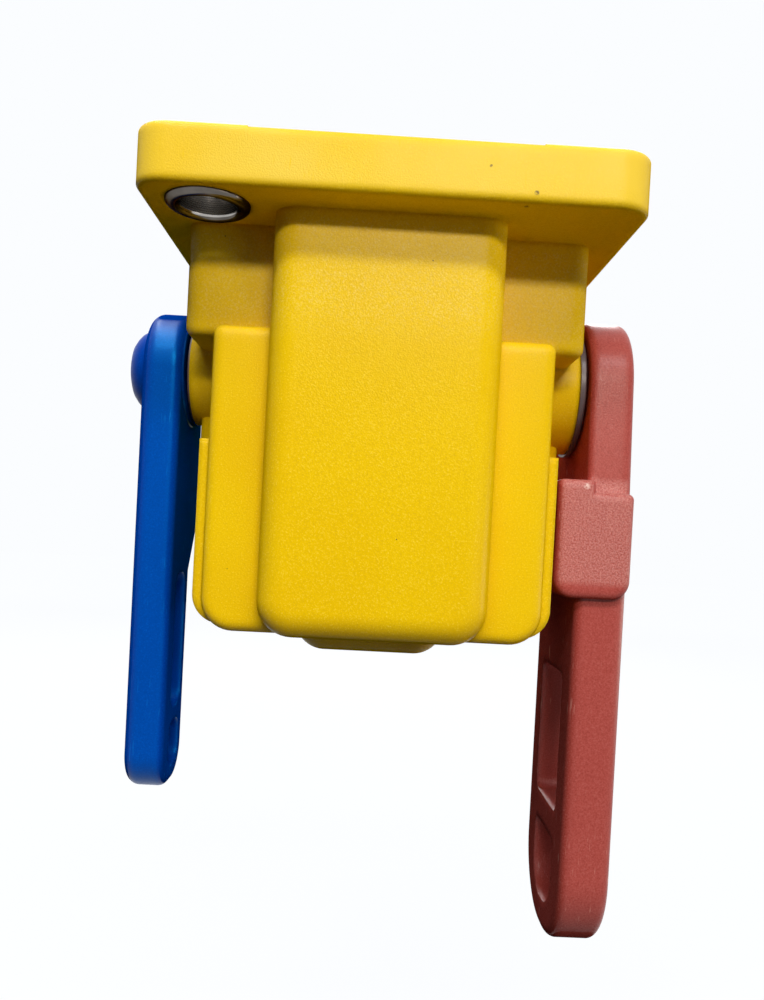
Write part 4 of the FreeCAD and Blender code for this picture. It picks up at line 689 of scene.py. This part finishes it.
# Reset cap: a low blue cap, snapped over the screw on the outside of the reset lever. It comes from the
# same compound as the lever and is a little duller. Sizes are in millimetres, from the lever's face.
CAP_PROFILE = ((0.0, 3.8), (4.2, 3.7), (5.4, 3.3), (6.4, 2.6), (7.2, 1.8), (7.8, 0.8), (8.0, -0.3),
               (0.0, -0.3))
CAP_PLACE = (-44.6, 0.0, -31.0)
CAP_AXIS = (-1.0, 0.0, 0.0)
CAP_GLOSS = 0.08
cap_moulding = blue_moulding.copy()
cap_moulding.name = "cap_moulding"
cap_socket = cap_moulding.node_tree.nodes["Principled BSDF"].inputs["Specular IOR Level"]
cap_moulding.node_tree.links.remove(cap_socket.links[0])
cap_socket.default_value = CAP_GLOSS
cap = keep_piece("low_cap", turned_shape(CAP_PROFILE, (CAP_PLACE,), CAP_AXIS), cap_moulding,
                 "reset")
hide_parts("reset_cap")


# Stage: a pale floor well below the switch, which hangs by its mounting face as it does in use, in a
# white surround. The floor's own light rises a little with distance, so that it meets the surround.
FLOOR_LEVEL = -0.20
FLOOR_HALF = 3.0
FLOOR_PAINT = (0.05, 0.05, 0.05, 1.0)
FLOOR_ROUGHNESS = 0.9
FLOOR_NEAR, FLOOR_FAR = 0.3, 1.5
FLOOR_NEAR_LEVEL = 0.955
SURROUND = (0.965, 0.982, 1.0, 1.0)
SURROUND_SEEN = 1.0
SURROUND_GIVEN = 0.05
FLOOR_CORNERS = ((-1.0, -1.0), (1.0, -1.0), (1.0, 1.0), (-1.0, 1.0))
floor_mesh = bpy.data.meshes.new("floor")
floor_mesh.from_pydata([(x * FLOOR_HALF, y * FLOOR_HALF, FLOOR_LEVEL) for x, y in FLOOR_CORNERS],
                       [], [(0, 1, 2, 3)])
floor = bpy.data.objects.new("floor", floor_mesh)
bpy.context.scene.collection.objects.link(floor)
floor_paint, floor_tree, floor_shader, floor_place = shaded("floor_paint")
floor_shader.inputs["Base Color"].default_value = FLOOR_PAINT
floor_shader.inputs["Roughness"].default_value = FLOOR_ROUGHNESS
floor_shader.inputs["Specular IOR Level"].default_value = 0.0
floor_shader.inputs["Emission Color"].default_value = SURROUND


def backdrop_level(tree, given, seen):
    """Brightness of the white surround: one level for the light it gives, one for where it is seen."""
    ray = add_node(tree, "ShaderNodeLightPath")
    direct = add_node(tree, "ShaderNodeMath", {"operation": "ADD", "use_clamp": True})
    mirrored = add_node(tree, "ShaderNodeMath", {"operation": "ADD", "use_clamp": True})
    level = add_node(tree, "ShaderNodeMapRange", values={"To Min": given, "To Max": seen})
    tree.links.new(ray.outputs["Is Camera Ray"], direct.inputs[0])
    tree.links.new(ray.outputs["Is Glossy Ray"], direct.inputs[1])
    tree.links.new(direct.outputs["Value"], mirrored.inputs[0])
    tree.links.new(ray.outputs["Is Transmission Ray"], mirrored.inputs[1])
    tree.links.new(mirrored.outputs["Value"], level.inputs["Value"])
    return level.outputs["Result"]


away = add_node(floor_tree, "ShaderNodeVectorMath", {"operation": "LENGTH"})
floor_tree.links.new(floor_place, away.inputs[0])
evenness = remap(floor_tree, away.outputs["Value"], FLOOR_NEAR, FLOOR_FAR, FLOOR_NEAR_LEVEL)
floor_tree.links.new(both(floor_tree, backdrop_level(floor_tree, 0.0, SURROUND_SEEN), evenness),
                     floor_shader.inputs["Emission Strength"])
floor_mesh.materials.append(floor_paint)

world = bpy.data.worlds.new("studio")
bpy.context.scene.world = world
world.use_nodes = True
sky = world.node_tree
backdrop = sky.nodes["Background"]
backdrop.inputs["Color"].default_value = SURROUND
sky.links.new(backdrop_level(sky, SURROUND_GIVEN, SURROUND_SEEN), backdrop.inputs["Strength"])


# Lamps: two wide, flat lamps above and in front, one lower than the other, a tall softbox low in front
# on the right, a long lamp overhead, and softboxes behind and on the right for the back and that side.
SWITCH_MIDDLE = (0.0, 0.0, -0.05)


def soft_lamp(name, place, width, height, power, colour):
    """Rectangular soft light that faces the middle of the switch."""
    lamp = bpy.data.lights.new(name, "AREA")
    lamp.shape = "RECTANGLE"
    lamp.size = width
    lamp.size_y = height
    lamp.energy = power
    lamp.color = colour
    holder = bpy.data.objects.new(name, lamp)
    holder.location = place
    holder.rotation_euler = (Vector(SWITCH_MIDDLE) - Vector(place)).to_track_quat("-Z", "Y").to_euler()
    bpy.context.scene.collection.objects.link(holder)


WARM = (1.0, 0.90, 0.78)
NEUTRAL = (1.0, 1.0, 1.0)
soft_lamp("low_front_lamp", (0.11, -0.82, 0.33), width=0.40, height=0.08, power=4.1, colour=WARM)
soft_lamp("high_front_lamp", (0.05, -0.60, 0.62), width=0.70, height=0.10, power=5.0, colour=NEUTRAL)
soft_lamp("side_softbox", (0.65, -0.60, -0.35), width=0.40, height=0.70, power=2.6, colour=WARM)
soft_lamp("top_softbox", (-0.24, -0.05, 0.62), width=0.90, height=0.10, power=3.4, colour=NEUTRAL)
soft_lamp("back_softbox", (0.0, 0.80, 0.40), width=0.60, height=0.50, power=6.0, colour=NEUTRAL)
soft_lamp("right_softbox", (0.85, 0.15, -0.25), width=0.40, height=0.40, power=4.0, colour=WARM)


# Camera: close in front of the panel, a little below the shafts, with a slight lean. Angles are in
# degrees, and the lens and its sensor in millimetres.
CAMERA_PLACE = (-0.000962, -0.169076, -0.060184)
CAMERA_PITCH = 0.9023
CAMERA_LEAN = 3.0216
CAMERA_TURN = 1.2426
CAMERA_LENS = 30.74
CAMERA_SENSOR = 36.0
CAMERA_SHIFT = (-0.0057, 0.0465)
CAMERA_NEAR = 0.01
camera_data = bpy.data.cameras.new("camera")
camera_data.lens = CAMERA_LENS
camera_data.sensor_width = CAMERA_SENSOR
camera_data.shift_x, camera_data.shift_y = CAMERA_SHIFT
camera_data.clip_start = CAMERA_NEAR
camera = bpy.data.objects.new("camera", camera_data)
turn = Matrix.Rotation(math.radians(CAMERA_TURN), 3, "Z")
lean = Matrix.Rotation(math.radians(CAMERA_LEAN), 3, "Y")
pitch = Matrix.Rotation(math.radians(CAMERA_PITCH), 3, "X")
right, ahead, up = turn @ lean @ pitch
aim = Matrix((right, up, -ahead)).transposed()
camera.matrix_world = Matrix.Translation(CAMERA_PLACE) @ aim.to_4x4()
bpy.context.scene.collection.objects.link(camera)
bpy.context.scene.camera = camera
bpy.context.scene.view_settings.view_transform = "Standard"
